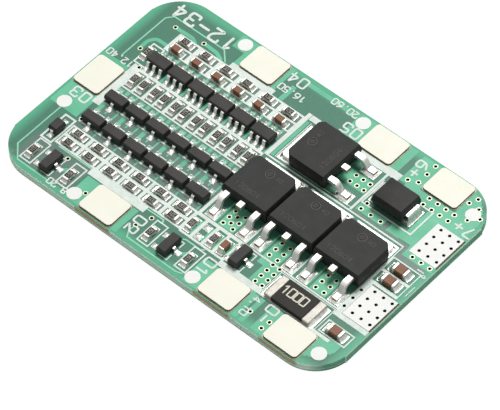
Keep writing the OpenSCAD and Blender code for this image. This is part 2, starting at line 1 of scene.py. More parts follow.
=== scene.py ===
"""Finish of a six-cell battery management board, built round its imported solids.

The board lies flat with its long side along X and its tabs on the +Y, -X and -Y edges.
Lengths here are in millimetres; add_piece turns them into the frame's metres. Most print, copper
and solder takes its place from the box of the CAD node it belongs to. The board's number, and
many coordinates of the traces, bars, strips and pours, are on the board's own axes.
"""
import math

import bmesh
import bpy
import numpy as np
from mathutils import Matrix, Vector


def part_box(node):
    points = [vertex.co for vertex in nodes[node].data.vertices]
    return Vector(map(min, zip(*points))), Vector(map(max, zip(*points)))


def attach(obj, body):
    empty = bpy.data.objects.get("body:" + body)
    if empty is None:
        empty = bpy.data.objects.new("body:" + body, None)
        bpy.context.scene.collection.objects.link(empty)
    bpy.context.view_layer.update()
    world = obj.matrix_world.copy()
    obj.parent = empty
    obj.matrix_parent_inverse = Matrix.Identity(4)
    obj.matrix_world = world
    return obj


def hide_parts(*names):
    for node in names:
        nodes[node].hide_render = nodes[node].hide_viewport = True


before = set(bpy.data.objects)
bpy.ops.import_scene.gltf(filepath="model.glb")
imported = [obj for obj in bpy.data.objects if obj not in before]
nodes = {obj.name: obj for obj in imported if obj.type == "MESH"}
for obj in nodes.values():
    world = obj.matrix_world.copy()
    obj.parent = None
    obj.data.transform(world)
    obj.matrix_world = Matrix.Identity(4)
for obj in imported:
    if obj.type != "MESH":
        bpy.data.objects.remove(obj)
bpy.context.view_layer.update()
MM = 0.001


# ---------------------------------------------------------------- places read from the frame

def span(node):
    """Lowest and highest corner of a CAD node, in millimetres."""
    low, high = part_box(node)
    return np.array(low) / MM, np.array(high) / MM


def middle(node):
    """Centre of a CAD node's box, in millimetres."""
    low, high = span(node)
    return (low + high) / 2


def solids_of(node):
    """Boxes (low, high) of the separate solids of a CAD node, from -X to +X.

    Corners that share a place are merged. Each corner starts with its own number, and every
    triangle hands its lowest number to its three corners until nothing changes, so the
    corners of one solid end with one number.
    """
    mesh = nodes[node].data
    points = np.zeros(len(mesh.vertices) * 3, np.float32)
    mesh.vertices.foreach_get("co", points)
    points = points.reshape(-1, 3).astype(float) / MM
    mesh.calc_loop_triangles()
    corners = np.zeros(len(mesh.loop_triangles) * 3, np.int32)
    mesh.loop_triangles.foreach_get("vertices", corners)
    _, same = np.unique(np.round(points, 3), axis=0, return_inverse=True)
    triangles = same.reshape(-1)[corners].reshape(-1, 3)
    label = np.arange(same.max() + 1)
    while True:
        lowest = label[triangles].min(1)
        new = label.copy()
        for k in range(3):
            np.minimum.at(new, triangles[:, k], lowest)
        if (new == label).all():
            break
        label = new
    of_point = label[same.reshape(-1)]
    boxes = [(points[of_point == v].min(0), points[of_point == v].max(0)) for v in np.unique(of_point)]
    return sorted(boxes, key=lambda b: (round(b[0][0], 2), b[0][1]))


def solid_sizes(node):
    """Centre and size of each separate solid of a CAD node, from -X to +X."""
    return [((low + high) / 2, high - low) for low, high in solids_of(node)]


# ---------------------------------------------------------------- closed shapes as arrays

def join(shapes):
    """One (points, faces) shape from several: each one's faces are shifted past the points before it."""
    points, faces, base = [], [], 0
    for p, f in shapes:
        points.append(np.asarray(p, float))
        faces += [[base + i for i in face] for face in f]
        base += len(p)
    return np.concatenate(points), faces


def sheet_over(x, y, z, low):
    """Closed solid between the height field z(x, y) on a grid and the flat floor z = low.

    The grid runs along +X with its first index and along +Y with its second. The top and the
    floor use the same grid, and the rim of both is joined by a wall.
    """
    n, m = x.shape
    top = np.stack([x, y, z], -1).reshape(-1, 3)
    floor = np.stack([x, y, np.full_like(x, low)], -1).reshape(-1, 3)
    k = np.arange(n * m).reshape(n, m)
    a, b, c, d = k[:-1, :-1], k[1:, :-1], k[1:, 1:], k[:-1, 1:]
    up = np.stack([a, b, c, d], -1).reshape(-1, 4)
    rim = np.concatenate([k[:, 0], k[-1, 1:], k[-2::-1, -1], k[0, -2:0:-1]])
    nxt = np.roll(rim, -1)
    wall = np.stack([rim + n * m, nxt + n * m, nxt, rim], -1)
    faces = np.concatenate([up, up[:, ::-1] + n * m, wall])
    return np.concatenate([top, floor]), faces.tolist()


def plan(bars, windows, low, high, pull=None):
    """Union of the bars (x0, y0, x1, y1) less the windows, as one closed plate from low to high.

    The plan is cut into cells at every edge of a bar or window. A cell is full if a bar covers
    it and no window does. Full cells get a top and a floor, and an edge between a full and an
    empty cell gets a wall. With pull, a function that draws points inside a limit, more cuts
    are made at each step, cells with a centre beyond the limit are dropped, and all points are
    pulled onto it.
    """
    bars = np.array(bars, float).reshape(-1, 4)
    windows = np.array(windows, float).reshape(-1, 4)
    both = np.round(np.concatenate([bars, windows]), 4)
    xs, ys = np.unique(both[:, [0, 2]]), np.unique(both[:, [1, 3]])
    if pull:
        step = 0.4
        xs = np.unique(np.r_[xs, np.arange(xs[0], xs[-1], step)])
        ys = np.unique(np.r_[ys, np.arange(ys[0], ys[-1], step)])
    mx, my = (xs[1:] + xs[:-1]) / 2, (ys[1:] + ys[:-1]) / 2

    def covered(r):
        """Cells whose centre lies in a box: in its range of x and in its range of y."""
        in_x = (mx[:, None] > r[:, 0]) & (mx[:, None] < r[:, 2])
        in_y = (my[:, None] > r[:, 1]) & (my[:, None] < r[:, 3])
        return (in_x.astype(int) @ in_y.T.astype(int)) > 0

    full = covered(bars) & ~covered(windows)
    if pull:
        centre = np.stack(np.meshgrid(mx, my, indexing="ij"), -1).reshape(-1, 2)
        full &= (np.abs(pull(centre) - centre).max(1) < 1e-9).reshape(full.shape)
    n, m = len(xs), len(ys)
    gx, gy = np.meshgrid(xs, ys, indexing="ij")
    flat = np.stack([gx, gy], -1).reshape(-1, 2)
    flat = pull(flat) if pull else flat
    points = np.concatenate([np.c_[flat, np.full(n * m, low)], np.c_[flat, np.full(n * m, high)]])
    k = np.arange(n * m).reshape(n, m)
    quads = np.stack([k[:-1, :-1], k[1:, :-1], k[1:, 1:], k[:-1, 1:]], -1)[full]
    padded = np.pad(full, 1)
    faces = [quads + n * m, quads[:, ::-1]]
    for dx, dy, a, b in ((0, -1, 0, 1), (1, 0, 1, 2), (0, 1, 2, 3), (-1, 0, 3, 0)):
        side = padded[1 + dx:padded.shape[0] - 1 + dx, 1 + dy:padded.shape[1] - 1 + dy]
        edge = ~side[full]
        p, q = quads[edge][:, a], quads[edge][:, b]
        faces.append(np.stack([p, q, q + n * m, p + n * m], -1))
    faces = np.concatenate(faces)
    used, faces = np.unique(faces, return_inverse=True)
    return points[used], faces.reshape(-1, 4).tolist()


def frame_bars(x0, y0, x1, y1, w):
    """Four bars of width w that run round the inside of a box."""
    return [(x0, y0, x1, y0 + w), (x0, y1 - w, x1, y1), (x0, y0, x0 + w, y1), (x1 - w, y0, x1, y1)]


def rounded_path(points, radius, closed=False):
    """Path with each inner corner replaced by a quadratic bend.

    The bend starts and ends at radius from the corner, or at under half of the shorter leg,
    and follows (1 - t)^2 a + 2 t (1 - t) corner + t^2 b.
    """
    p = np.asarray(points, float)
    n = len(p)
    out = [] if closed else [p[0]]
    t = np.linspace(0, 1, 4)[:, None]
    for i in range(n if closed else n - 2):
        a, c, b = (p[i - 1], p[i], p[(i + 1) % n]) if closed else (p[i], p[i + 1], p[i + 2])
        r = min(radius, np.linalg.norm(a - c) * 0.49, np.linalg.norm(b - c) * 0.49)
        s, e = c + (a - c) * r / np.linalg.norm(a - c), c + (b - c) * r / np.linalg.norm(b - c)
        out += list((1 - t) ** 2 * s + 2 * t * (1 - t) * c + t ** 2 * e)
    return np.array(out if closed else out + [p[-1]])


def stroke(path, width, low, high, closed=False):
    """Printed or etched line of a constant width along a path, with round ends.

    Each station of the path is widened along its mitre. At an open end the half width follows
    a semicircle, r sin(a) at r (1 - cos(a)) from the tip.
    """
    p = np.asarray(path, float)
    r = width / 2
    if not closed:
        d0, d1 = p[1] - p[0], p[-1] - p[-2]
        d0, d1 = d0 / np.linalg.norm(d0), d1 / np.linalg.norm(d1)
        a = np.radians([8, 35, 62])
        head = p[0] - d0 * r * np.cos(a)[:, None]
        tail = p[-1] + d1 * r * np.cos(a[::-1])[:, None]
        p = np.concatenate([head, p, tail])
        half = np.r_[r * np.sin(a), np.full(len(path), r), r * np.sin(a[::-1])]
        before = np.r_[p[:1], p[:-1]]
        after = np.r_[p[1:], p[-1:]]
    else:
        half = np.full(len(p), r)
        before, after = np.roll(p, 1, 0), np.roll(p, -1, 0)
    u = p - before
    v = after - p
    u = np.where(np.linalg.norm(u, axis=1, keepdims=True) > 1e-9, u, v)
    v = np.where(np.linalg.norm(v, axis=1, keepdims=True) > 1e-9, v, u)
    u /= np.linalg.norm(u, axis=1, keepdims=True)
    v /= np.linalg.norm(v, axis=1, keepdims=True)
    mitre = u + v
    mitre /= np.linalg.norm(mitre, axis=1, keepdims=True)
    normal = np.c_[-mitre[:, 1], mitre[:, 0]]
    reach = half / np.clip((mitre * u).sum(1), 0.6, 1)
    left, right = p + normal * reach[:, None], p - normal * reach[:, None]
    n = len(p)
    ring = np.stack([np.c_[right, np.full(n, low)], np.c_[left, np.full(n, low)],
                     np.c_[left, np.full(n, high)], np.c_[right, np.full(n, high)]], 1)
    i = np.arange(n if closed else n - 1)[:, None]
    k = np.arange(4)[None]
    j = (i + 1) % n
    faces = np.stack([i * 4 + k, j * 4 + k, j * 4 + (k + 1) % 4, i * 4 + (k + 1) % 4], -1).reshape(-1, 4)
    faces = faces[:, ::-1].tolist()
    if not closed:
        last = (n - 1) * 4
        faces += [[0, 1, 2, 3], [last + 3, last + 2, last + 1, last]]
    return face_out((ring.reshape(-1, 3), faces))


def circle(centre, radius, count):
    """Points of a circle: centre + radius (cos a, sin a), with a in equal steps."""
    a = np.linspace(0, 2 * math.pi, count, endpoint=False)
    return np.array(centre) + radius * np.c_[np.cos(a), np.sin(a)]


def face_out(shape):
    """The shape with its faces turned so that its signed volume is positive."""
    points, faces = shape
    volume = 0.0
    for size in {len(f) for f in faces}:
        f = np.array([g for g in faces if len(g) == size])
        for k in range(1, size - 1):
            volume += np.einsum("ij,ij->i", points[f[:, 0]],
                                np.cross(points[f[:, k]], points[f[:, k + 1]])).sum()
    return (points, [f[::-1] for f in faces]) if volume < 0 else shape


def put_in_scene(name, data):
    """New object of this name and data, linked to the scene."""
    made = bpy.data.objects.new(name, data)
    bpy.context.scene.collection.objects.link(made)
    return made


def add_piece(name, shape, material, smooth=False):
    """Blender mesh object from a (points, faces) shape in millimetres, fixed to the board."""
    points, faces = shape
    mesh = bpy.data.meshes.new(name)
    mesh.from_pydata((np.asarray(points) * MM).tolist(), [], faces)
    mesh.update()
    if smooth:
        mesh.shade_smooth()
        mesh.set_sharp_from_angle(angle=math.radians(50))
    mesh.materials.append(material)
    piece = put_in_scene(name, mesh)
    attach(piece, "root")


def soften(node, material, radius, segments=2, lowered=0):
    """Copy of a CAD node with its sharp edges rounded; it stands for the node.

    The copy's loose triangles are merged and its flat faces joined, and a bevel of the given
    radius in millimetres follows every edge that turns by more than 35 degrees. The top face
    comes down by lowered, which leaves room for a mark on it inside the node's own height.
    """
    mesh = nodes[node].data.copy()
    work = bmesh.new()
    work.from_mesh(mesh)
    bmesh.ops.remove_doubles(work, verts=work.verts, dist=0.002 * MM)
    bmesh.ops.dissolve_limit(work, angle_limit=math.radians(1), verts=work.verts, edges=work.edges)
    crown = max(v.co.z for v in work.verts) - 0.001 * MM
    for v in work.verts:
        if v.co.z > crown:
            v.co.z -= lowered * MM
    work.to_mesh(mesh)
    work.free()
    mesh.materials.clear()
    mesh.materials.append(material)
    piece = put_in_scene(node + "_finished", mesh)
    bevel = piece.modifiers.new("edge", "BEVEL")
    bevel.width = radius * MM
    bevel.segments = segments
    bevel.limit_method = "ANGLE"
    bevel.angle_limit = math.radians(35)
    bevel.use_clamp_overlap = True
    graph = bpy.context.evaluated_depsgraph_get()
    done = bpy.data.meshes.new_from_object(piece.evaluated_get(graph))
    piece.modifiers.clear()
    piece.data = done
    done.shade_smooth()
    done.set_sharp_from_angle(angle=math.radians(18))
    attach(piece, "root")
    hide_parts(node)


# ---------------------------------------------------------------- materials

def linear(r, g, b):
    """Linear colour of an sRGB colour given in 0 to 255."""
    c = np.array([r, g, b]) / 255
    c = np.where(c <= 0.04045, c / 12.92, ((c + 0.055) / 1.055) ** 2.4)
    return (*c.tolist(), 1.0)


class Nodes:
    """A node tree whose nodes are added one call at a time."""

    def __init__(self, tree):
        """The tree to which the nodes are added."""
        self.tree = tree

    def feed(self, socket, value):
        """An input takes what another node puts out, or a value of its own."""
        if isinstance(value, bpy.types.NodeSocket):
            self.tree.links.new(value, socket)
        else:
            socket.default_value = value

    def node(self, kind, inputs=None, **settings):
        """A node of a kind with its settings and inputs."""
        made = self.tree.nodes.new("ShaderNode" + kind)
        for key, value in settings.items():
            setattr(made, key, value)
        for key, value in (inputs or {}).items():
            self.feed(made.inputs[key], value)
        return made

    def ramp(self, value, low, high, out_low=0.0, out_high=1.0):
        """The value carried from the range low..high to out_low..out_high, held at both ends."""
        return self.node("MapRange", {"Value": value, "From Min": low, "From Max": high,
                                      "To Min": out_low, "To Max": out_high}).outputs["Result"]

    def math(self, operation, a, b=0.0):
        """Result of one operation, named as Blender names it, on one or two values."""
        return self.node("Math", {0: a, 1: b}, operation=operation).outputs[0]


class Finish(Nodes):
    """A material on Object coordinates, with one principled shader."""

    def __init__(self, name, roughness, metallic, specular):
        """New material with these three values on its shader, and its object coordinates."""
        self.material = bpy.data.materials.new(name)
        self.material.use_nodes = True
        super().__init__(self.material.node_tree)
        self.shader = self.tree.nodes["Principled BSDF"]
        self.set("Roughness", roughness)
        self.set("Metallic", metallic)
        self.set("Specular IOR Level", specular)
        self.place = self.node("TexCoord")

    def noise(self, size, detail=2.0, stretch=(1, 1, 1)):
        """Noise with features of about this size in millimetres, 0 to 1, pulled out along an axis."""
        mapped = self.node("Mapping", {"Vector": self.place.outputs["Object"], "Scale": stretch})
        return self.node("TexNoise", {"Vector": mapped.outputs[0], "Scale": 1 / (size * MM),
                                      "Detail": detail}).outputs["Fac"]

    def mix(self, share, a, b):
        """Colour a changing to colour b by a share."""
        return self.node("Mix", {0: share, 6: a, 7: b}, data_type="RGBA").outputs[2]

    def tint(self, value, low, high, colour, shade):
        """One sRGB colour that goes over to another as the value goes from low to high."""
        return self.mix(self.ramp(value, low, high), linear(*colour), linear(*shade))

    def blend(self, a, b, part):
        """Sum of two values: a times its part, and b times the rest."""
        return self.math("ADD", self.times(a, part), self.times(b, 1 - part))

    def unsigned(self, value):
        """The value without its sign."""
        return self.math("ABSOLUTE", value)

    def times(self, a, b):
        """Product of two values."""
        return self.math("MULTIPLY", a, b)

    def axis(self, name, source="Object"):
        """One component, X, Y or Z, of the Object coordinate or of the Normal."""
        return self.node("SeparateXYZ", {0: self.place.outputs[source]}).outputs[name]

    def set(self, socket, value):
        """An input of the shader takes this value."""
        self.feed(self.shader.inputs[socket], value)

    def bump(self, height, depth):
        """Bump from a height of 0 to 1, whose full range is this depth in millimetres."""
        made = self.node("Bump", {"Height": height, "Distance": depth * MM, "Strength": 1.0})
        self.set("Normal", made.outputs[0])


def plain_finish(name, colour, shade, roughness, metallic=0.0, grain=0.15, depth=0.003, specular=0.5,
                 blotch=1.2):
    """Finish that drifts between two colours with slow blotches and fine grain, with a grain bump."""
    made = Finish(name, roughness, metallic, specular)
    slow, fine = made.noise(blotch), made.noise(grain, 3)
    made.set("Base Color", made.tint(made.blend(slow, fine, 0.6), 0.3, 0.7, colour, shade))
    made.set("Roughness", made.ramp(fine, 0.25, 0.75, max(0.04, roughness - 0.06), roughness + 0.06))
    made.bump(fine, depth)
    return made.material


board_high = span("circuit_board")[1]
half_l, half_w, board_t = board_high[0], board_high[1], board_high[2]
score_in = 0.15  # the faces end this far inside the scored and snapped sides
face_x = half_l - score_in
tab_names = ["tab_pack_minus", "tab_cell_1", "tab_cell_2", "tab_cell_3", "tab_cell_4", "tab_cell_5",
             "tab_pack_plus"]


def board_material():
    """Solder mask on the faces, laminate on the walls.

    The mask is darker where bare laminate lies under it and lighter in a margin along the edges;
    a pale strip at the top edge of the scored X sides is a painted highlight. The walls show thin
    layers along Z, the scored X walls carry bands of painted light and shade for their V-groove,
    which is not modelled, and the walls turn brown beside the tabs of the -Y edge.
    """
    made = Finish("board_faces_and_walls", 0.4, 0, 0.25)
    x, y, z = (made.axis(a) for a in "XYZ")
    rim = made.math("MINIMUM", made.math("SUBTRACT", half_l * MM, made.unsigned(x)),
                    made.math("SUBTRACT", half_w * MM, made.unsigned(y)))
    cloth = made.blend(made.noise(0.35, 2, (1, 6, 1)), made.noise(0.35, 2, (6, 1, 1)), 0.5)
    dark = made.tint(cloth, 0.35, 0.65, (70, 122, 101), (79, 133, 111))
    edge = made.tint(cloth, 0.35, 0.65, (84, 168, 133), (92, 180, 143))
    top = made.mix(made.ramp(rim, 0.5 * MM, 1.6 * MM), edge, dark)
    # Pale strip at the top edge of the scored X sides: a painted highlight where the edge catches light
    edge_highlight = made.ramp(made.unsigned(x), (face_x - 0.07) * MM, (face_x - 0.05) * MM)
    top = made.mix(made.times(edge_highlight, 0.8), top, linear(178, 204, 184))
    layers = made.node("TexWave", {"Vector": made.place.outputs["Object"], "Scale": 1 / (2.2 * MM),
                                   "Distortion": 1.5, "Detail": 2.0, "Detail Scale": 2.0},
                       bands_direction="Z").outputs["Fac"]
    fibre = made.noise(0.12, 3, (1, 1, 4))
    layer = made.ramp(made.math("ADD", layers, fibre), 0.6, 1.4)
    cut = made.mix(layer, linear(176, 214, 190), linear(214, 240, 222))
    scored = made.mix(layer, linear(84, 142, 114), linear(104, 170, 138))
    # Bands across the scored X walls: painted shade at the foot and below the top, painted highlights on
    # the web and under the top edge, for the V-groove's slopes that the flat wall does not model
    for low, high, colour in ((0.0, 0.22, (74, 124, 98)), (0.3, 0.42, (142, 190, 164)),
                              (0.93, 1.04, (84, 104, 92)), (1.08, 1.2, (188, 206, 188))):
        band = made.times(made.ramp(z, low * MM, (low + 0.03) * MM),
                         made.ramp(z, (high - 0.03) * MM, high * MM, 1, 0))
        scored = made.mix(made.times(band, 0.8), scored, linear(*colour))
    glass = made.mix(made.ramp(made.unsigned(made.axis("X", "Normal")), 0.5, 0.8), cut, scored)
    near = None
    for name in ("tab_pack_minus", "tab_cell_1", "tab_cell_2"):
        off = made.unsigned(made.math("SUBTRACT", x, middle(name)[0] * MM))
        share = made.ramp(off, 2.5 * MM, 2.9 * MM, 1, 0)
        near = share if near is None else made.math("MAXIMUM", near, share)
    front = made.times(near, made.ramp(y, (0.34 - half_w) * MM, (0.14 - half_w) * MM))
    brown = made.tint(fibre, 0.35, 0.65, (150, 140, 108), (182, 172, 138))
    side = made.mix(made.times(front, made.ramp(z, 0.3 * MM, 0.55 * MM)), glass, brown)
    facing = made.ramp(made.unsigned(made.axis("Z", "Normal")), 0.8, 0.95)
    made.set("Base Color", made.mix(facing, side, top))
    made.set("Roughness", made.ramp(facing, 0, 1, 0.75, 0.33))
    made.bump(made.times(cloth, 0.5), 0.006)
    return made.material


def copper_mask_material():
    """Solder mask over copper: a fuller mint green, with the copper's grain showing through."""
    made = Finish("mask_over_copper", 0.38, 0, 0.25)
    slow, fine = made.noise(2.5), made.noise(0.12, 3)
    share = made.blend(slow, fine, 0.7)
    made.set("Base Color", made.tint(share, 0.35, 0.65, (98, 184, 146), (114, 199, 163)))
    made.set("Roughness", made.ramp(fine, 0.3, 0.7, 0.24, 0.36))
    made.bump(fine, 0.003)
    return made.material


def print_material():
    """White printed ink: a little uneven in cover, with the mask tinting its thin spots."""
    made = Finish("printed_ink", 0.6, 0, 0.2)
    fine, slow = made.noise(0.1, 3), made.noise(0.8, 2)
    share = made.blend(fine, slow, 0.6)
    made.set("Base Color", made.tint(share, 0.42, 0.68, (236, 243, 237), (206, 224, 212)))
    made.set("Roughness", made.ramp(fine, 0.3, 0.7, 0.48, 0.62))
    made.bump(fine, 0.004)
    return made.material


def solder_material():
    """Bright solder: frosted and smooth patches, with a shallow ripple."""
    made = Finish("solder", 0.3, 0.85, 0.5)
    fine, slow = made.noise(0.16, 3), made.noise(0.5, 2)
    made.set("Base Color", made.tint(slow, 0.35, 0.65, (228, 228, 222), (196, 196, 190)))
    made.set("Roughness", made.ramp(fine, 0.3, 0.7, 0.22, 0.44))
    made.bump(made.math("ADD", fine, slow), 0.02)
    return made.material


def case_material(name, colour):
    """Moulding compound: a dark resin with pale filler specks and a matt, fine-pitted skin."""
    made = Finish(name, 0.55, 0, 0.22)
    fine, slow = made.noise(0.07, 4), made.noise(1.6, 2)
    grey = np.array(colour)
    base = made.tint(slow, 0.35, 0.65, grey - 4, grey + 4)
    speck = made.node("TexVoronoi", {"Vector": made.place.outputs["Object"],
                                     "Scale": 1 / (0.22 * MM)}).outputs["Distance"]
    made.set("Base Color", made.mix(made.ramp(speck, 0.1, 0.16, 0.45, 0), base, linear(*(grey + 46))))
    made.set("Roughness", made.ramp(fine, 0.3, 0.7, 0.47, 0.65))
    made.bump(fine, 0.012)
    return made.material


def resistor_material():
    """Chip resistor: black glaze on top, white alumina on its sides."""
    made = Finish("resistor_glaze_and_ceramic", 0.35, 0, 0.25)
    fine = made.noise(0.09, 3)
    up = made.ramp(made.axis("Z", "Normal"), 0.6, 0.8)
    glaze = made.tint(fine, 0.3, 0.7, (26, 25, 24), (40, 38, 36))
    white = made.tint(fine, 0.3, 0.7, (226, 224, 214), (204, 202, 192))
    made.set("Base Color", made.mix(up, white, glaze))
    made.set("Roughness", made.ramp(up, 0, 1, 0.7, 0.32))
    made.bump(fine, 0.004)
    return made.material


def tab_material():
    """Nickel tab: pale and faintly warm, rolled along its length, with light handling marks; its side faces
    are painted dark brown as shade.
    """
    made = Finish("nickel_tab", 0.5, 0.0, 0.2)
    roll = made.noise(0.25, 3, (1, 7, 1))
    slow, mark = made.noise(2.2, 2), made.noise(0.5, 4)
    pale = made.tint(made.blend(roll, slow, 0.3), 0.3, 0.7, (252, 251, 236), (247, 246, 230))
    up = made.ramp(made.axis("Z", "Normal"), 0.3, 0.6)
    # Side faces take a dark brown: painted shade along the tab's edges
    made.set("Base Color", made.mix(up, linear(126, 116, 92), pale))
    made.set("Roughness", made.ramp(mark, 0.3, 0.7, 0.34, 0.52))
    made.bump(made.math("ADD", roll, made.times(mark, 0.5)), 0.004)
    return made.material


def ring_material():
    """Plated hole: a cream tinned ring on each face, and between them a dark barrel that is painted shade
    inside the hole.
    """
    made = Finish("plated_hole", 0.4, 0.2, 0.4)
    fine = made.noise(0.1, 2)
    ring = made.tint(fine, 0.3, 0.7, (224, 232, 206), (204, 210, 178))
    flat_share = made.ramp(made.unsigned(made.axis("Z", "Normal")), 0.6, 0.8)
    # The barrel's near-black colour is painted shade of the hole's inside
    made.set("Base Color", made.mix(flat_share, linear(26, 20, 14), ring))
    made.set("Metallic", made.ramp(flat_share, 0, 1, 0, 0.3))
    made.set("Roughness", made.ramp(flat_share, 0, 1, 0.95, 0.4))
    made.bump(fine, 0.004)
    return made.material


MASK = board_material()
MINT = copper_mask_material()
# Darker mask over bare laminate, also used as painted shade in the print's windows between the chips
BARE_MASK_AND_PAINTED_SHADE = plain_finish("mask_over_laminate_and_painted_shade", (76, 108, 95), (84, 118, 104), 0.34, blotch=0.8)
# Dimmer, greener solder for lands behind the rows of parts: painted shade and a painted reflection of the
# green mask
PAINTED_SHADE_SOLDER = plain_finish("solder_in_painted_shade", (158, 182, 168), (134, 158, 144), 0.45, 0.3, 0.2, 0.006)
TAB_LAND = plain_finish("land_round_tab", (150, 148, 132), (122, 120, 104), 0.45, 0.5, 0.2, 0.006)
INK = print_material()
SOLDER = solder_material()
PALE_TRACE = plain_finish("mask_over_guard_trace", (152, 222, 188), (140, 210, 176), 0.32, blotch=0.8)
TAB = tab_material()
LAND = plain_finish("tinned_land", (232, 232, 226), (208, 208, 202), 0.32, 0.7, 0.2, 0.006)
BARE_PAD = plain_finish("levelled_pad", (250, 250, 246), (243, 243, 239), 0.45, 0, 0.3, 0.006, 0.2, 1.8)
RING = ring_material()
LEAD = plain_finish("tinned_lead", (236, 236, 231), (212, 212, 207), 0.32, 0.65, 0.2, 0.005)
CHIP_END = plain_finish("tinned_chip_end", (222, 220, 212), (186, 184, 176), 0.32, 0.8, 0.15, 0.006,
                        blotch=0.4)
FET_CASE = case_material("mosfet_case", (40, 41, 39))
IC_CASE = case_material("small_case", (56, 55, 52))
DIODE_CASE = case_material("diode_case", (43, 42, 40))
CERAMIC = plain_finish("capacitor_ceramic", (142, 96, 70), (122, 80, 56), 0.42, 0, 0.12, 0.004, 0.25, 0.5)
GLAZE = resistor_material()
SHUNT = plain_finish("shunt_coating", (38, 36, 32), (46, 44, 39), 0.5, 0, 0.1, 0.006, 0.15)
SHUNT_END = plain_finish("shunt_end", (218, 213, 203), (190, 184, 173), 0.45, 0.15, 0.12, 0.01, 0.4, 0.5)
CUT_END = plain_finish("cropped_lead_end", (196, 150, 96), (150, 106, 62), 0.5, 0.3, 0.1, 0.01)
SCORE_LINE = plain_finish("bared_copper_edge", (70, 58, 42), (96, 82, 60), 0.6, 0, 0.2, 0.004, 0.2)
LASER = plain_finish("laser_mark", (98, 97, 92), (84, 83, 78), 0.7, 0, 0.1, 0.002, 0.1, 0.3)
MARK = plain_finish("printed_mark", (204, 199, 188), (180, 174, 162), 0.5, blotch=0.3)
SHUNT_MARK = plain_finish("shunt_mark", (232, 226, 206), (214, 208, 190), 0.5, blotch=0.4)


def dress(node, material):
    """The CAD node keeps its shape and takes this material."""
    mesh = nodes[node].data
    mesh.materials.clear()
    mesh.materials.append(material)


dress("circuit_board", MASK)
dress("plated_vias", RING)
for name in ("load_pad_minus", "load_pad_plus", "test_pads"):
    dress(name, BARE_PAD)
dress("tab_lands", TAB_LAND)
dress("component_lands", LAND)
for name in ("monitor_leads", "driver_leads", "switch_leads", "gate_leads", "small_diode_leads"):
    dress(name, LEAD)

for name in tab_names:
    soften(name, TAB, 0.05)
for name in [n for n in nodes if n.startswith(("cell_monitor_", "balance_", "gate_transistor_"))]:
    soften(name, IC_CASE, 0.08)
soften("small_diode_case", IC_CASE, 0.05)
# What the tallest cases give up, so that the marks on them stay inside the part
mark_room = 0.012
for i in range(1, 5):
    soften(f"mosfet_{i}_case", FET_CASE, 0.07, lowered=mark_room)
    soften(f"mosfet_{i}_frame", LEAD, 0.05)
soften("power_diode_case", DIODE_CASE, 0.09, 3)
soften("power_diode_terminals", LEAD, 0.03)
soften("shunt_element", SHUNT, 0.08)
soften("shunt_terminals", SHUNT_END, 0.12, 3)
soften("resistor_bodies", GLAZE, 0.03)
soften("resistor_terminals", CHIP_END, 0.06)
soften("capacitor_bodies", CERAMIC, 0.05)
soften("capacitor_terminals", CHIP_END, 0.11, 3)
soften("filter_capacitors", CERAMIC, 0.06)
soften("filter_terminals", CHIP_END, 0.16, 3)


# ---------------------------------------------------------------- layout lines

land_z = span("component_lands")[1][2]
ink, copper = 0.036, 0.012  # how far print and copper under the mask stand above the board's face
chan = [middle(f"cell_monitor_{i}")[0] for i in range(1, 7)]
monitor_y = middle("cell_monitor_1")[1]
driver_y = middle("balance_driver_1")[1]
switch_y = middle("balance_switch_1")[1]
chips = solid_sizes("resistor_bodies")
caps = solid_sizes("capacitor_bodies")
res_y = max(c[1] for c, s in chips)
cap_y = max(c[1] for c, s in caps)
flat = sorted({round(float(c[1]), 3) for c, s in chips if s[0] > 0.9 * s[1] and c[1] < 0
               and abs(c[0] - chan[0]) < 0.1})
pair_y = [c[1] for c, s in chips if 0 < c[1] < monitor_y and abs(c[0] - chan[0]) < 1][0]
first, last = chan[0], chan[-1]
fet_x = [middle(f"mosfet_{i}_case")[0] for i in range(1, 4)]
fet_gaps = [(a + b) / 2 for a, b in zip(fet_x, fet_x[1:])]
shunt_low, shunt_high = span("shunt_terminals")
diode_low, diode_high = span("power_diode_terminals")


def channels(x0, y0, x1, y1):
    """The same window in each of the six channels, from the channel's centre line."""
    return [(c + x0, y0, c + x1, y1) for c in chan]


hole_half = 0.2
hole_windows = [(c[0] - hole_half, c[1] - hole_half, c[0] + hole_half, c[1] + hole_half)
                for c, s in solid_sizes("plated_vias")]


def lay(name, bars, windows, height, material, pull=None):
    """Plan on the board's face, this high above it, with every plated hole left clear."""
    shape = plan(bars, hole_windows + windows, board_t, board_t + height, pull)
    add_piece(name, shape, material)


def line(path, width, height, closed=False):
    """Line on the board's face, this wide and this high above it."""
    return stroke(path, width, board_t, board_t + height, closed)


# ---------------------------------------------------------------- printed ink
#
# A plan is a list of inked bars and a list of windows left clear in them. Offsets are measured
# from the part that the line names; a plain coordinate is on the board's own axes. Plans that may
# meet lie at heights a few thousandths apart.

bars, windows = [], []
left_x, right_x = first - 1.55, last + 1.7
bars.append((left_x, cap_y - 0.6, right_x, res_y + 0.8))
windows += channels(-1.15, res_y - 0.58, 1.55, res_y + 0.52)
windows += channels(-1.15, cap_y - 0.4, 1.5, cap_y + 0.75)
bars.append((left_x + 0.1, pair_y - 1.6, right_x, pair_y + 1.7))
windows += channels(-1.24, pair_y - 1.4, -0.05, pair_y + 1.33)
windows += channels(0.27, pair_y - 1.4, 1.5, pair_y + 1.33)
bars.append((left_x, flat[0] - 0.78, right_x + 0.1, flat[1] + 0.84))
windows += channels(-1.32, flat[1] - 0.55, 1.43, flat[1] + 0.58)
windows += channels(-1.32, flat[0] - 0.5, 1.43, flat[0] + 0.6)
for y in (driver_y, switch_y):
    bars += [(c + 0.76, y - 0.99, c + 2.74, y - 0.77) for c in chan[:-1]]
    bars += [(first - 1.6, y - 0.99, first - 0.45, y - 0.77), (last + 0.76, y - 0.99, last + 1.4, y - 0.77)]
    bars += [(c - 0.55, y + 1.22, c + 0.4, y + 1.36) for c in chan]
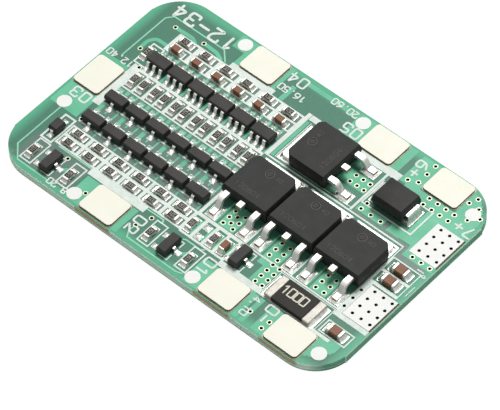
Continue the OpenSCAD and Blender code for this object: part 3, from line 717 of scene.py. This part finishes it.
bars.append((left_x - 0.95, -3.3, left_x + 0.2, 4.05))
bars.append((left_x + 6.0, flat[0] - 1.7, left_x + 14.6, flat[0] - 0.7))
low, high = span("tab_cell_4")
bars.append((low[0] - 0.8, res_y + 0.7, high[0] + 0.95, low[1]))
lay("print_on_channels", bars, windows, ink, INK)

bars, windows = [], []
foot_low, fet_top = (corner[1] for corner in span("mosfet_1_frame"))
block_x0, block_x1 = fet_x[0] - 3.8, fet_x[2] + 3.25
bars += [(block_x0, fet_top + 0.62, block_x1, fet_top + 0.84),
         (block_x0 + 0.6, fet_top + 0.1, block_x1 - 0.3, fet_top + 0.34),
         (block_x0, foot_low - 0.62, block_x1, foot_low - 0.4),
         (block_x1 - 0.15, foot_low - 0.6, block_x1, fet_top + 0.84),
         (block_x0, foot_low - 0.4, block_x0 + 0.42, -2.4)]
for x in fet_gaps:
    bars.append((x - 0.32, foot_low - 0.4, x - 0.12, -2.2))
    windows.append((x - 0.25, fet_top + 0.05, x + 0.3, fet_top + 0.4))
turned_low, turned_high = span("mosfet_4_frame")
turned_x = turned_high[0] - 0.1
bars += [(block_x0, fet_top + 0.84, block_x0 + 0.56, turned_high[1] + 1.55),
         (block_x0 + 1.2, fet_top + 1.1, block_x0 + 1.32, turned_high[1] + 0.5),
         (block_x0 + 0.62, turned_high[1] + 0.75, block_x0 + 1.9, turned_high[1] + 1.55),
         (turned_x - 3.9, turned_high[1] + 0.5, turned_x + 2.5, turned_high[1] + 1.55),
         (turned_x + 0.95, fet_top + 0.9, turned_x + 1.25, turned_high[1] + 0.5),
         (block_x0 + 1.32, fet_top + 1.1, turned_x + 0.95, fet_top + 1.2)]
dx0, dx1 = turned_x + 1.3, diode_high[0] + 1.15
bars += frame_bars(dx0, 5.62, dx1, 9.75, 0.2)
windows += [(dx0 + 0.1, 9.5, diode_high[0] - 1.1, 9.8)]
sx0, sx1 = shunt_low[0] - 0.72, shunt_high[0] + 0.82
sy0, sy1 = shunt_low[1] - 0.14, shunt_high[1] + 0.5
bars += frame_bars(sx0, sy0, sx1, sy1, 0.12)
bars += [(sx0 - 4.2, sy0 - 0.05, sx0 + 0.05, sy0 + 0.75), (sx0, sy0 - 0.05, sx1, sy0 + 0.12),
         (shunt_high[0] - 3, sy0 - 0.05, sx1 + 2.2, sy0 + 0.38)]
lay("print_on_power_stage", bars, windows, ink - 0.002, INK)

bars, windows = [], []
small_row = (span("tab_cell_1")[1][1] + foot_low) / 2
small = sorted([(c, s) for c, s in chips if abs(c[1] - small_row) < 0.5 and c[0] > last + 0.5],
               key=lambda p: p[0][0])
small_y = small[0][0][1]
small_x = [small[0][0][0], (small[0][0][0] + small[1][0][0]) / 2, small[1][0][0],
           [c for c, s in caps if abs(c[1] - small_y) < 0.1][0][0]]
bars.append((right_x + 0.05, small_y - 1.55, small_x[3] + 1.0, foot_low - 0.4))
windows += [(x - 0.53, small_y - 1.25, x + 0.68, small_y + 1.5) for x in small_x]
bars.append((small_x[3] + 0.75, small_y - 2.3, small_x[3] + 3.4, small_y - 1.5))
x, y = [c[:2] for c, s in chips if c[0] < first - 1.6 and c[1] > 0][0]
bars += frame_bars(x - 0.57, y - 1.85, x + 1.28, y + 1.72, 0.2)
x, y = middle("small_diode_case")[:2]
bars += frame_bars(x - 0.87, y - 2.07, x + 0.9, y + 2.25, 0.24)
for gate in (1, 2):
    x, y = middle(f"gate_transistor_{gate}")[:2]
    for way, off in ((-1, -0.05), (1, -0.1)):
        c = min((c for c, s in chips), key=lambda c: abs(c[0] - x - way * 2.85) + abs(c[1] - y))
        bars += frame_bars(c[0] - 0.72 + off, c[1] - 1.6, c[0] + 1.05 + off, c[1] + 2.0, 0.18)
    bars += [(x + 0.85, y - 1.5, x + 1.0, y - 0.6), (x - 0.4, y - 1.55, x + 1.0, y - 1.42),
             (x + 0.85, y + 0.6, x + 1.0, y + 1.5), (x + 0.4, y + 1.42, x + 1.0, y + 1.55)]
x, y = middle("gate_transistor_3")[:2]
bars += [(x + 1.0, y - 1.5, x + 1.15, y - 0.55), (x + 1.0, y + 0.55, x + 1.15, y + 1.5),
         (x + 0.3, y - 1.53, x + 1.15, y - 1.37), (x + 0.3, y + 1.37, x + 1.15, y + 1.53)]
lay("print_on_small_parts", bars, windows, ink - 0.004, INK)

bars, windows = [], []
filters = solid_sizes("filter_capacitors")
filter_y = sorted(c[1] for c, s in filters)
cx0, cx1 = block_x1, filters[0][0][0] + 2.0
minus_low, minus_high = span("load_pad_minus")
bars += [(cx0, minus_high[1] + 0.2, cx1, filter_y[2] + 1.2)]
windows += [(cx0 + 0.2, filter_y[2] - 0.8, cx1 - 0.14, filter_y[2] + 1.0),
            (cx0 + 0.2, filter_y[1] - 0.85, cx1 - 0.14, filter_y[1] + 0.72)]
bars += [(cx0, minus_low[1] - 0.7, minus_low[0] - 0.04, minus_high[1] + 0.3),
         (cx0, minus_low[1] - 0.7, minus_high[0] + 0.12, minus_low[1] - 0.06)]
bars += frame_bars(cx0 + 0.22, filter_y[0] - 0.95, cx1 - 0.02, filter_y[0] + 1.0, 0.18)
bars += [(cx1 + 0.4, -1.2, cx1 + 0.5, 0.5), (cx1 - 0.02, filter_y[2] + 1.0, cx1 + 0.6, filter_y[2] + 1.12),
         (cx1 - 0.95, filter_y[2] + 1.42, cx1, filter_y[2] + 1.6)]
lay("print_on_load_side", bars, windows, ink + 0.003, INK)


# ---------------------------------------------------------------- numerals

GLYPHS = {
    "0": [[(0, 0), (1, 0), (1, 1.7), (0, 1.7), "closed"]],
    "1": [[(0.15, 1.3), (0.55, 1.7), (0.55, 0)]],
    "2": [[(0, 1.3), (0, 1.7), (1, 1.7), (1, 0.95), (0, 0), (1, 0)]],
    "3": [[(0, 1.4), (0, 1.7), (1, 1.7), (1, 0.9), (0.4, 0.9)],
          [(0.4, 0.9), (1, 0.9), (1, 0), (0, 0), (0, 0.35)]],
    "4": [[(0.75, 0), (0.75, 1.7), (0.65, 1.7)], [(0.7, 1.65), (0, 0.5), (1, 0.5)]],
    "5": [[(0.95, 1.7), (0.05, 1.7), (0.05, 0.95), (1, 1.05), (1, 0), (0, 0), (0, 0.3)]],
    "6": [[(0, 0), (1, 0), (1, 0.95), (0, 0.95), "closed"], [(0, 0.55), (0, 1.15), (0.8, 1.7)]],
    "7": [[(0, 1.7), (1, 1.7), (0.35, 0)]],
    "8": [[(0, 0), (1, 0), (1, 0.9), (0, 0.9), "closed"],
          [(0.08, 0.9), (0.92, 0.9), (0.92, 1.7), (0.08, 1.7), "closed"]],
    "+": [[(0, 0.85), (1, 0.85)], [(0.5, 0.35), (0.5, 1.35)]],
    "-": [[(0, 0.85), (1, 0.85)]],
    ".": [[(0.45, 0), (0.45, 0.22)]],
}


def numerals(text, start, along, height, width, low, high, step=1.5, wide=1.15, bend=0.3):
    """Stroked numerals from a start point; along is the reading direction, up lies to its left.

    A glyph is drawn on a field 1 wide and 1.7 high, its width is stretched by wide, and both are
    scaled to the height. Corners are rounded by bend on the field. Strokes of one text end at
    three heights, so that no two faces share a plane where they cross.
    """
    along = np.array(along, float)
    up = np.array([-along[1], along[0]])
    unit = height / 1.7
    shapes = []
    for k, letter in enumerate(text):
        for line_points in GLYPHS[letter]:
            closed = line_points[-1] == "closed"
            p = np.array(line_points[:-1] if closed else line_points, float)
            p = rounded_path(p, bend, closed) * unit
            p = np.array(start) + (p[:, :1] + k * step * unit) * wide * along + p[:, 1:] * up
            shapes.append(stroke(p, width, low, high + 0.003 * (len(shapes) % 3), closed))
    return shapes


def digits_on_board():
    """The board's number, a number beside each tab and the plus load pad, and a smaller one by
    each cell tab. All but the board's number start at an offset from the middle of their node."""
    west, south = (-1, 0), (0, -1)
    plain, fine = (1.4, 0.24), (0.85, 0.17)
    top = board_t + ink + 0.005
    made = numerals("12-34", (-13.9, 14.17), west, 1.85, 0.34, board_t, top)
    for name, text, dx, dy, way, (height, width) in (
            ("tab_cell_3", "03", 1.6, -2.75, west, plain),
            ("tab_cell_3", "12.40", 1.85, 3.95, west, fine),
            ("tab_cell_4", "04", 5.55, 1.6, west, plain),
            ("tab_cell_4", "16.50", 6.8, -0.57, west, fine),
            ("tab_cell_5", "05", -2.98, -0.08, west, plain),
            ("tab_cell_5", "20.60", -5.02, 1.7, west, fine),
            ("tab_cell_2", "02", 3.7, 1.53, south, plain),
            ("tab_cell_1", "01", -4.4, 2.3, south, plain),
            ("tab_cell_1", "4.10", 3.15, 1.73, south, fine),
            ("tab_cell_2", "8.20", -4.75, -1.0, west, (0.8, 0.17)),
            ("tab_pack_minus", "0-", -4.5, 1.9, south, plain),
            ("tab_pack_plus", "6+", -5.15, 1.13, south, plain),
            ("load_pad_plus", "7+", 2.0, 4.4, west, plain)):
        c = middle(name)
        made += numerals(text, (c[0] + dx, c[1] + dy), way, height, width, board_t, top,
                         1.5 if height > 1 else 1.35)
    return made


pin_ring = circle((half_l - 0.72, minus_high[1] + 4.5), 0.2, 20)
add_piece("print_numerals", join(digits_on_board() + [line(pin_ring, 0.1, ink + 0.006, True)]),
          INK)


# ---------------------------------------------------------------- copper under the mask

bars, windows = [], []


def beside(name, x0, x1):
    """Copper as deep along Y as a tab, from x0 to x1 measured along X from the tab's +X edge, or
    from its -X edge if x0 is negative."""
    low, high = span(name)
    end = low[0] if x0 < 0 else high[0]
    return (end + x0, low[1], end + x1, high[1])


bars += [beside(*place) for place in (
    ("tab_cell_4", -2.6, -0.05), ("tab_cell_4", 0.1, 0.7), ("tab_cell_5", -2.5, -0.1),
    ("tab_cell_5", 0.1, 1.2), ("tab_cell_2", -2.0, -0.05), ("tab_cell_2", 0.1, 0.95),
    ("tab_cell_1", -2.2, -0.1), ("tab_cell_1", 0.1, 1.0), ("tab_cell_1", 1.3, 1.95),
    ("tab_pack_minus", -1.75, -0.1))]
low_3, high_3 = span("tab_cell_3")
low_4, high_4 = span("tab_cell_4")
low_5 = span("tab_cell_5")[0]
bars += [(high_4[0] + 1.85, res_y + 0.85, high_4[0] + 2.5, high_4[1] - 2),
         (high_4[0] + 3.2, 14.4, low_5[0] - 0.3, 15.0),
         (low_3[0] - 0.05, high_3[1] + 0.15, high_3[0] - 0.1, high_3[1] + 0.75),
         (low_3[0] + 0.05, -6.2, high_3[0] + 0.35, low_3[1])]
windows += [(low_4[0] - 2.65, 10.9, low_4[0] - 0.75, 13.3), (low_4[0] - 0.75, 10.9, low_4[0] - 0.6, 11.5)]
for c in chan:
    bars += [(c + 1.45, 3.85, c + 1.8, 5.2)]
    bars += [(c - 1.3, -3.75, c - 0.75, -2.6), (c - 0.12, -3.75, c + 0.12, -3.2),
             (c + 1.05, -3.75, c + 1.3, -2.6), (c - 1.35, -0.35, c - 0.55, 0.3),
             (c - 0.3, -0.2, c + 0.2, 0.42), (c + 0.55, -0.35, c + 1.0, 0.25),
             (c + 1.15, -0.3, c + 1.45, 0.45), (c + 1.18, -7.1, c + 1.43, -6.4)]
    bars += [(c - 1.0 + k * 0.95, 7.0, c - 0.6 + k * 0.95, 7.75) for k in range(3)]
for x in fet_x:
    bars += [(x - 1.05, foot_low - 0.32, x + 1.2, -2.6), (x - 1.55, foot_low - 0.32, x - 1.35, -3.4)]
bars += [(fet_x[1] - 1.0, small_y - 1.4, fet_x[1] + 1.95, foot_low - 0.32),
         (turned_x - 3.2, 6.65, turned_x + 0.8, 8.6),
         (block_x0 + 0.62, fet_top + 1.0, block_x0 + 1.05, turned_high[1] + 0.5),
         (dx0 + 0.1, fet_top + 1.32, dx0 + 4.0, 5.6),
         (cx0 + 0.5, 3.05, cx0 + 4.6, 3.92)]
windows += [(fet_x[1] - 1.9, small_y - 1.4, fet_x[1] - 0.1, small_y + 0.95)]
for x in small_x:
    bars += [(x + 0.42, small_y - 1.0, x + 0.66, small_y + 1.2)]
lay("copper_strips", bars, windows, copper, MINT)
# Mask over bare laminate is darker than mask over copper. The first bar shows only in the print's windows
# on the channels, where its darkness is partly painted shade between the chips.
bars = [(left_x + 0.05, flat[0] - 0.7, right_x - 0.05, res_y + 0.7),
        (-half_l + 2.75, -half_w + 0.85, span("tab_cell_2")[0][0] - 2.3, flat[0] - 0.85),
        (cx0 + 0.05, filter_y[2] + 1.25, half_l - 1.2, 4.5),
        (dx0, fet_top + 0.92, cx0 + 0.5, fet_top + 1.22),
        (dx0 + 4.1, fet_top + 1.2, diode_high[0] - 1.4, 5.6)]
lay("mask_on_bare_laminate_and_painted_shade", bars, [], copper / 2, BARE_MASK_AND_PAINTED_SHADE)


def inside_corners(margin):
    """Function that pulls points inside the board's rounded corners, at a margin from its edge.

    A point past both centre lines of a corner's arc moves towards the arc's centre until it is
    no further from it than the arc's radius less the margin.
    """
    corner = 5.0  # radius of the board's routed corners
    centre = np.array([face_x - corner, half_w - corner])

    def pull(points):
        """Points past the limit, moved straight towards the centre of their corner's arc."""
        past = np.abs(points) - centre
        reach = np.linalg.norm(np.maximum(past, 0), axis=1)
        far = (past > 0).all(1) & (reach > corner - margin)
        scale = np.where(far, (corner - margin) / np.maximum(reach, 1e-9), 1.0)[:, None]
        return np.where(far[:, None], np.sign(points) * (centre + past * scale), points)

    return pull


plus_x0, plus_x1 = (corner[0] for corner in span("tab_pack_plus"))
minus_x1 = span("tab_pack_minus")[1][0]
pour_x = diode_high[0] + 0.45
bars = [(pour_x, 4.55, half_l - 0.62, 11.3), (plus_x1 + 0.15, 11.3, half_l - 0.62, half_w - 0.35),
        (diode_low[0] + 1.4, 9.85, pour_x, 11.3), (plus_x0 - 2.7, 10.85, plus_x0 - 0.05, 15.3),
        (diode_high[0] - 1.45, 4.42, pour_x, 5.72), (cx0 + 0.45, 3.0, half_l - 0.62, 4.55)]
lay("copper_pour_plus", bars, [], copper + 0.004, MINT, inside_corners(0.4))
bars = [(minus_x1 + 0.1, -15.3, half_l - 1.35, -11.35), (cx0 + 2.1, -11.35, half_l - 1.35, -10.75),
        (sx0 - 0.9, -15.2, sx0 - 0.2, -11.3)]
lay("copper_pour_minus", bars, [], copper + 0.004, MINT, inside_corners(1.0))

guard = [[(first - 4.55, 4.0), (first - 4.55, 11.4), (first - 3.85, 12.25), (first + 3.95, 12.25),
          (first + 5.25, 10.95)],
         [(first - 4.55, -6.2), (first - 4.55, -13.3), (first - 2.95, -14.98), (first + 1.5, -14.98)],
         [(-4.55, -13.3), (-4.7, -14.1), (-4.2, -15.0), (3.2, -15.0), (3.9, -14.75)],
         [(-18.9, -10.55), (-13.7, -10.55)], [(-5.1, -10.65), (-2.7, -10.6), (-2.45, -11.1)],
         [(0.8, -11.15), (1.1, -11.0), (3.2, -11.0), (3.6, -10.75)]]
add_piece("guard_traces", join([line(p, 0.17, copper + 0.008) for p in guard]), PALE_TRACE)

wide = [[(-20.5, 11.1), (-18.3, 11.2), (-17.6, 10.8)], [(-16.3, 11.42), (-14.6, 11.35), (-13.6, 10.85)],
        [(-21.95, 6.45), (-21.95, 7.6), (-21.3, 8.4), (-19.8, 8.4)],
        [(-16.3, -12.85), (-15.7, -12.4)], [(1.9, -12.9), (2.5, -12.4)]]
add_piece("copper_traces", join([line(rounded_path(p, 0.4), 0.5, copper + 0.002) for p in wide]),
          MINT, True)


# ---------------------------------------------------------------- solder

dip = 0.01  # how far a solder rim sinks into its land, so that none of it lies in the land's plane


def mound(x, y, lx, ly, height, power, n):
    """Solder cushion on a land: height (1 - |u|^p)(1 - |v|^p), u and v from -1 to 1, above a rim
    that dips a hundredth of a millimetre into the land."""
    u = np.sin(np.linspace(-1, 1, n) * math.pi / 2)
    gu, gv = np.meshgrid(u, u, indexing="ij")
    z = land_z - dip + (height + dip) * (1 - np.abs(gu) ** power) * (1 - np.abs(gv) ** power)
    return sheet_over(x + gu * lx / 2, y + gv * ly / 2, z, land_z - 2 * dip)


def fillet(x, y, along, length, width, height, n=7):
    """Solder that climbs a chip's end: height (1 - u)^1.8 (1 - |v|^4 (0.35 + 0.65 u)) outwards.

    The footprint narrows by a fifth towards its outer edge, and the rim dips into the land.
    """
    u, v = np.meshgrid(np.linspace(0, 1, n), np.linspace(-1, 1, n), indexing="ij")
    z = land_z - dip + (height + dip) * (1 - u) ** 1.8 * (1 - np.abs(v) ** 4 * (0.35 + 0.65 * u))
    along = np.array(along, float)
    across = np.array([-along[1], along[0]])
    half = width / 2 * (1 - 0.2 * u ** 2)
    px = x + along[0] * u * length + across[0] * v * half
    py = y + along[1] * u * length + across[1] * v * half
    return face_out(sheet_over(px, py, z, land_z - 2 * dip))


shapes = []
for node, rise in (("resistor_terminals", 0.36), ("capacitor_terminals", 0.5), ("filter_terminals", 0.45)):
    ends = solid_sizes(node)
    reach = 0.5 if node == "filter_terminals" else 0.38
    for i, (c, size) in enumerate(ends):
        k = 1 if size[0] > size[1] else 0  # the chip's long axis: a terminal is short along it
        other = [p for j, (p, _) in enumerate(ends)
                 if j != i and abs((p - c)[1 - k]) < 0.05 and 1.0 < abs((p - c)[k]) < 1.9][0]
        way = np.zeros(2)
        way[k] = np.sign((c - other)[k])
        tip = c[:2] + way * (size[k] / 2 - 0.03)
        shapes.append(fillet(tip[0], tip[1], way, reach, size[1 - k] + 0.04, rise))
add_piece("chip_solder", join(shapes), SOLDER, True)

near, behind = [], []
lands = solid_sizes("component_lands")
for c, s in lands:
    if min(s[0], s[1]) < 0.7 and s[0] * s[1] < 0.7:
        past_row = any(0.3 < c[1] - y < 2.2 for y in (monitor_y, driver_y, switch_y))
        group = behind if past_row and left_x < c[0] < right_x else near
        group.append(mound(c[0], c[1], s[0] - 0.02, s[1] - 0.02, 0.11, 3.0, 7))
    elif abs(c[0] - small_x[1]) < 0.3 and abs(c[1] - small_y) < 1.3:
        near.append(mound(c[0], c[1], s[0] - 0.02, s[1] - 0.02, 0.16, 2.2, 9))
add_piece("small_lead_solder", join(near), SOLDER, True)
# Lands just behind a row of parts take the dimmer solder colour: painted shade and a painted reflection of
# the mask
add_piece("small_lead_solder_in_painted_shade", join(behind), PAINTED_SHADE_SOLDER, True)

shapes = []
foot_land = 1.52 * 2.1  # area of the land under a MOSFET's outer lead
for c, s in lands:
    if abs(s[0] * s[1] - foot_land) < 0.05:
        shapes.append(mound(c[0], c[1], s[0] - 0.04, s[1] - 0.04, 0.3, 2.4, 11))
for low, high in [span(f"mosfet_{i}_frame") for i in (1, 2, 3)]:
    shapes.append(fillet((low[0] + high[0]) / 2, high[1] - 0.03, (0, 1), 0.2, 5.5, 0.35, 11))
turned_y = (turned_low[1] + turned_high[1]) / 2
shapes.append(fillet(turned_low[0] + 0.03, turned_y, (-1, 0), 0.35, 5.6, 0.4, 11))
for way in (-1, 1):
    for (low, high), sizes, n in (((shunt_low, shunt_high), (0.52, 3.1, 0.42), 11),
                                  ((diode_low, diode_high), (0.36, 2.5, 0.5), 9)):
        x = (high if way > 0 else low)[0] - way * 0.05
        shapes.append(fillet(x, (low[1] + high[1]) / 2, (way, 0), *sizes, n))
add_piece("power_solder", join(shapes), SOLDER, True)


# ---------------------------------------------------------------- marks on parts

shapes = []
for i, (c, s) in enumerate(chips):
    top = c[2] + s[2] / 2
    text, h = ("102", "203", "150")[i % 3], 0.42
    if s[0] > 0.95:
        start, along = (c[0] - 0.4, c[1] - h / 2), (1, 0)
    else:
        start, along = (c[0] + h / 2, c[1] - 0.4), (0, 1)
    shapes += numerals(text, start, along, h, 0.04, top - 0.002, top + 0.008, 1.3, 1.05)
add_piece("resistor_marks", join(shapes), MARK)

top = span("shunt_element")[1][2]
x, y = middle("shunt_element")[:2]
shapes = numerals("1000", (x - 2.0, y - 0.27), (1, 0), 1.15, 0.16, top - 0.002, top + 0.012,
                  1.28, 1.02, 0.12)
add_piece("shunt_mark", join(shapes), SHUNT_MARK)


def on_case(centre, along, a, b):
    """Point on a case: centre + a along + b up, where up lies 90 degrees to the left of along."""
    return (centre[0] + a * along[0] - b * along[1], centre[1] + a * along[1] + b * along[0])


shapes = []
for i in range(1, 5):
    centre, along = middle(f"mosfet_{i}_case"), (1, 0) if i < 4 else (0, 1)
    top = span(f"mosfet_{i}_case")[1][2] - mark_room
    low, high = top - 0.004, top + 0.004
    shapes.append(stroke(circle(on_case(centre, along, 0, 1.5), 0.53, 24), 0.1, low, high, True))
    for text, a, b, height, width in (("8", -0.2, 1.27, 0.5, 0.1), ("40", 0.95, 1.25, 0.5, 0.06),
                                      ("120604", -2.3, -2.0, 0.6, 0.06)):
        shapes += numerals(text, on_case(centre, along, a, b), along, height, width, low, high)
add_piece("mosfet_marks", join(shapes), LASER)

shapes = []
for i in range(1, 5):
    for low, high in solids_of(f"mosfet_{i}_frame"):
        size = high - low
        if size.min() > 0.4 and max(size[:2]) < 4:  # each of the three leads, not the wide slug
            end, k, side = (low[1], 1, -1) if i < 4 else (high[0], 0, 1)
            a, b = low.copy(), high.copy()
            a[k], b[k] = sorted((end - side * 0.01, end + side * 0.012))
            b[2] = min(b[2], a[2] + 0.5)
            a[[1 - k, 2]] += 0.05
            b[[1 - k, 2]] -= 0.05
            x, y = np.meshgrid([a[0], b[0]], [a[1], b[1]], indexing="ij")
            shapes.append(sheet_over(x, y, np.full_like(x, b[2]), a[2]))
add_piece("cropped_lead_ends", join(shapes), CUT_END)

shapes = []
for name in ("load_pad_minus", "load_pad_plus"):
    low, high = span(name)
    bar = (high[0] + 0.01, low[1], high[0] + 0.19, high[1])
    shapes.append(plan([bar], [], board_t, board_t + copper + 0.03))
add_piece("score_line_copper", join(shapes), SCORE_LINE)


# ---------------------------------------------------------------- table, light, camera

def floor_material():
    """White table: it lights and shades as white card, and shows a camera or a mirror near-white."""
    made = Finish("white_table", 0.8, 0, 0.2)
    fine = made.noise(3.0, 2)
    made.set("Base Color", made.tint(fine, 0.3, 0.7, (252, 252, 252), (250, 250, 250)))
    path = made.node("LightPath")
    mirrored = made.math("MAXIMUM", path.outputs["Is Glossy Ray"], path.outputs["Is Transmission Ray"])
    seen = made.math("MAXIMUM", path.outputs["Is Camera Ray"], mirrored)
    card = made.node("BsdfDiffuse", {"Color": (0.1, 0.1, 0.1, 1)})
    glow = made.node("Emission", {"Color": (1, 1, 1, 1), "Strength": 0.97})
    both = made.node("AddShader", {0: card.outputs[0], 1: glow.outputs[0]})
    pick = made.node("MixShader", {0: seen, 1: made.shader.outputs[0], 2: both.outputs[0]})
    made.feed(made.tree.nodes["Material Output"].inputs["Surface"], pick.outputs[0])
    return made.material


def table_top():
    """Square of table 0.6 m wide, a hundredth of a millimetre below the board."""
    reach = 300.0
    x, y = np.meshgrid(np.linspace(-reach, reach, 9), np.linspace(-reach, reach, 9), indexing="ij")
    points, faces = sheet_over(x, y, np.full_like(x, -0.01), -5.0)
    mesh = bpy.data.meshes.new("table")
    mesh.from_pydata((points * MM).tolist(), [], faces)
    mesh.materials.append(floor_material())
    table = put_in_scene("table", mesh)


table_top()


def lamp(name, place, size, power):
    """Square area lamp at a place in millimetres, aimed at the board's centre."""
    light = bpy.data.lights.new(name, "AREA")
    light.shape = "SQUARE"
    light.size = size * MM
    light.energy = power
    lamp_object = put_in_scene(name, light)
    lamp_object.location = Vector(place) * MM
    lamp_object.rotation_euler = (-Vector(place)).to_track_quat("-Z", "Y").to_euler()


lamp("key", (-95, 440, 890), 400, 8.75)
lamp("fill", (440, -280, 600), 520, 0.5)


def studio_world():
    """White studio: the camera sees white, mirrors see white overhead and grey by the horizon.

    All other rays get an even low level, so that the lamps shape the light.
    """
    world = bpy.data.worlds.new("studio")
    bpy.context.scene.world = world
    world.use_nodes = True
    made = Nodes(world.node_tree)
    background = made.tree.nodes["Background"]
    background.inputs["Color"].default_value = (1, 1, 1, 1)
    path = made.node("LightPath")
    split = made.node("SeparateXYZ", {0: made.node("TexCoord").outputs["Generated"]})
    overhead = made.ramp(split.outputs["Z"], 0.1, 0.55, 0.35, 1.0)
    level = 0.17
    for share, bright in (("Is Glossy Ray", overhead), ("Is Camera Ray", 1.0)):
        level = made.node("Mix", {0: path.outputs[share], 2: level, 3: bright}).outputs[0]
    made.feed(background.inputs["Strength"], level)


studio_world()


def set_camera():
    """Camera above the +X, -Y corner, turned a little about its own axis."""
    azimuth, elevation, roll = (math.radians(a) for a in (44.09, 52.01, -2.73))
    distance = 402.9
    target = np.array([2.544, -2.072, 0.0])
    back = np.array([math.sin(azimuth) * math.cos(elevation), -math.cos(azimuth) * math.cos(elevation),
                     math.sin(elevation)])
    right = np.cross(-back, [0, 0, 1])
    right /= np.linalg.norm(right)
    up = np.cross(right, -back)
    axis_x = math.cos(roll) * right + math.sin(roll) * up
    axis_y = -math.sin(roll) * right + math.cos(roll) * up
    place = (target + back * distance) * MM
    lens = bpy.data.cameras.new("camera")
    lens.sensor_width = 36
    lens.lens = 258.624
    lens.clip_start = 0.01
    camera = put_in_scene("camera", lens)
    rows = np.column_stack([axis_x, axis_y, back, place]).tolist()
    camera.matrix_world = Matrix(rows + [[0, 0, 0, 1]])
    bpy.context.scene.camera = camera


set_camera()
bpy.context.scene.view_settings.view_transform = "Standard"
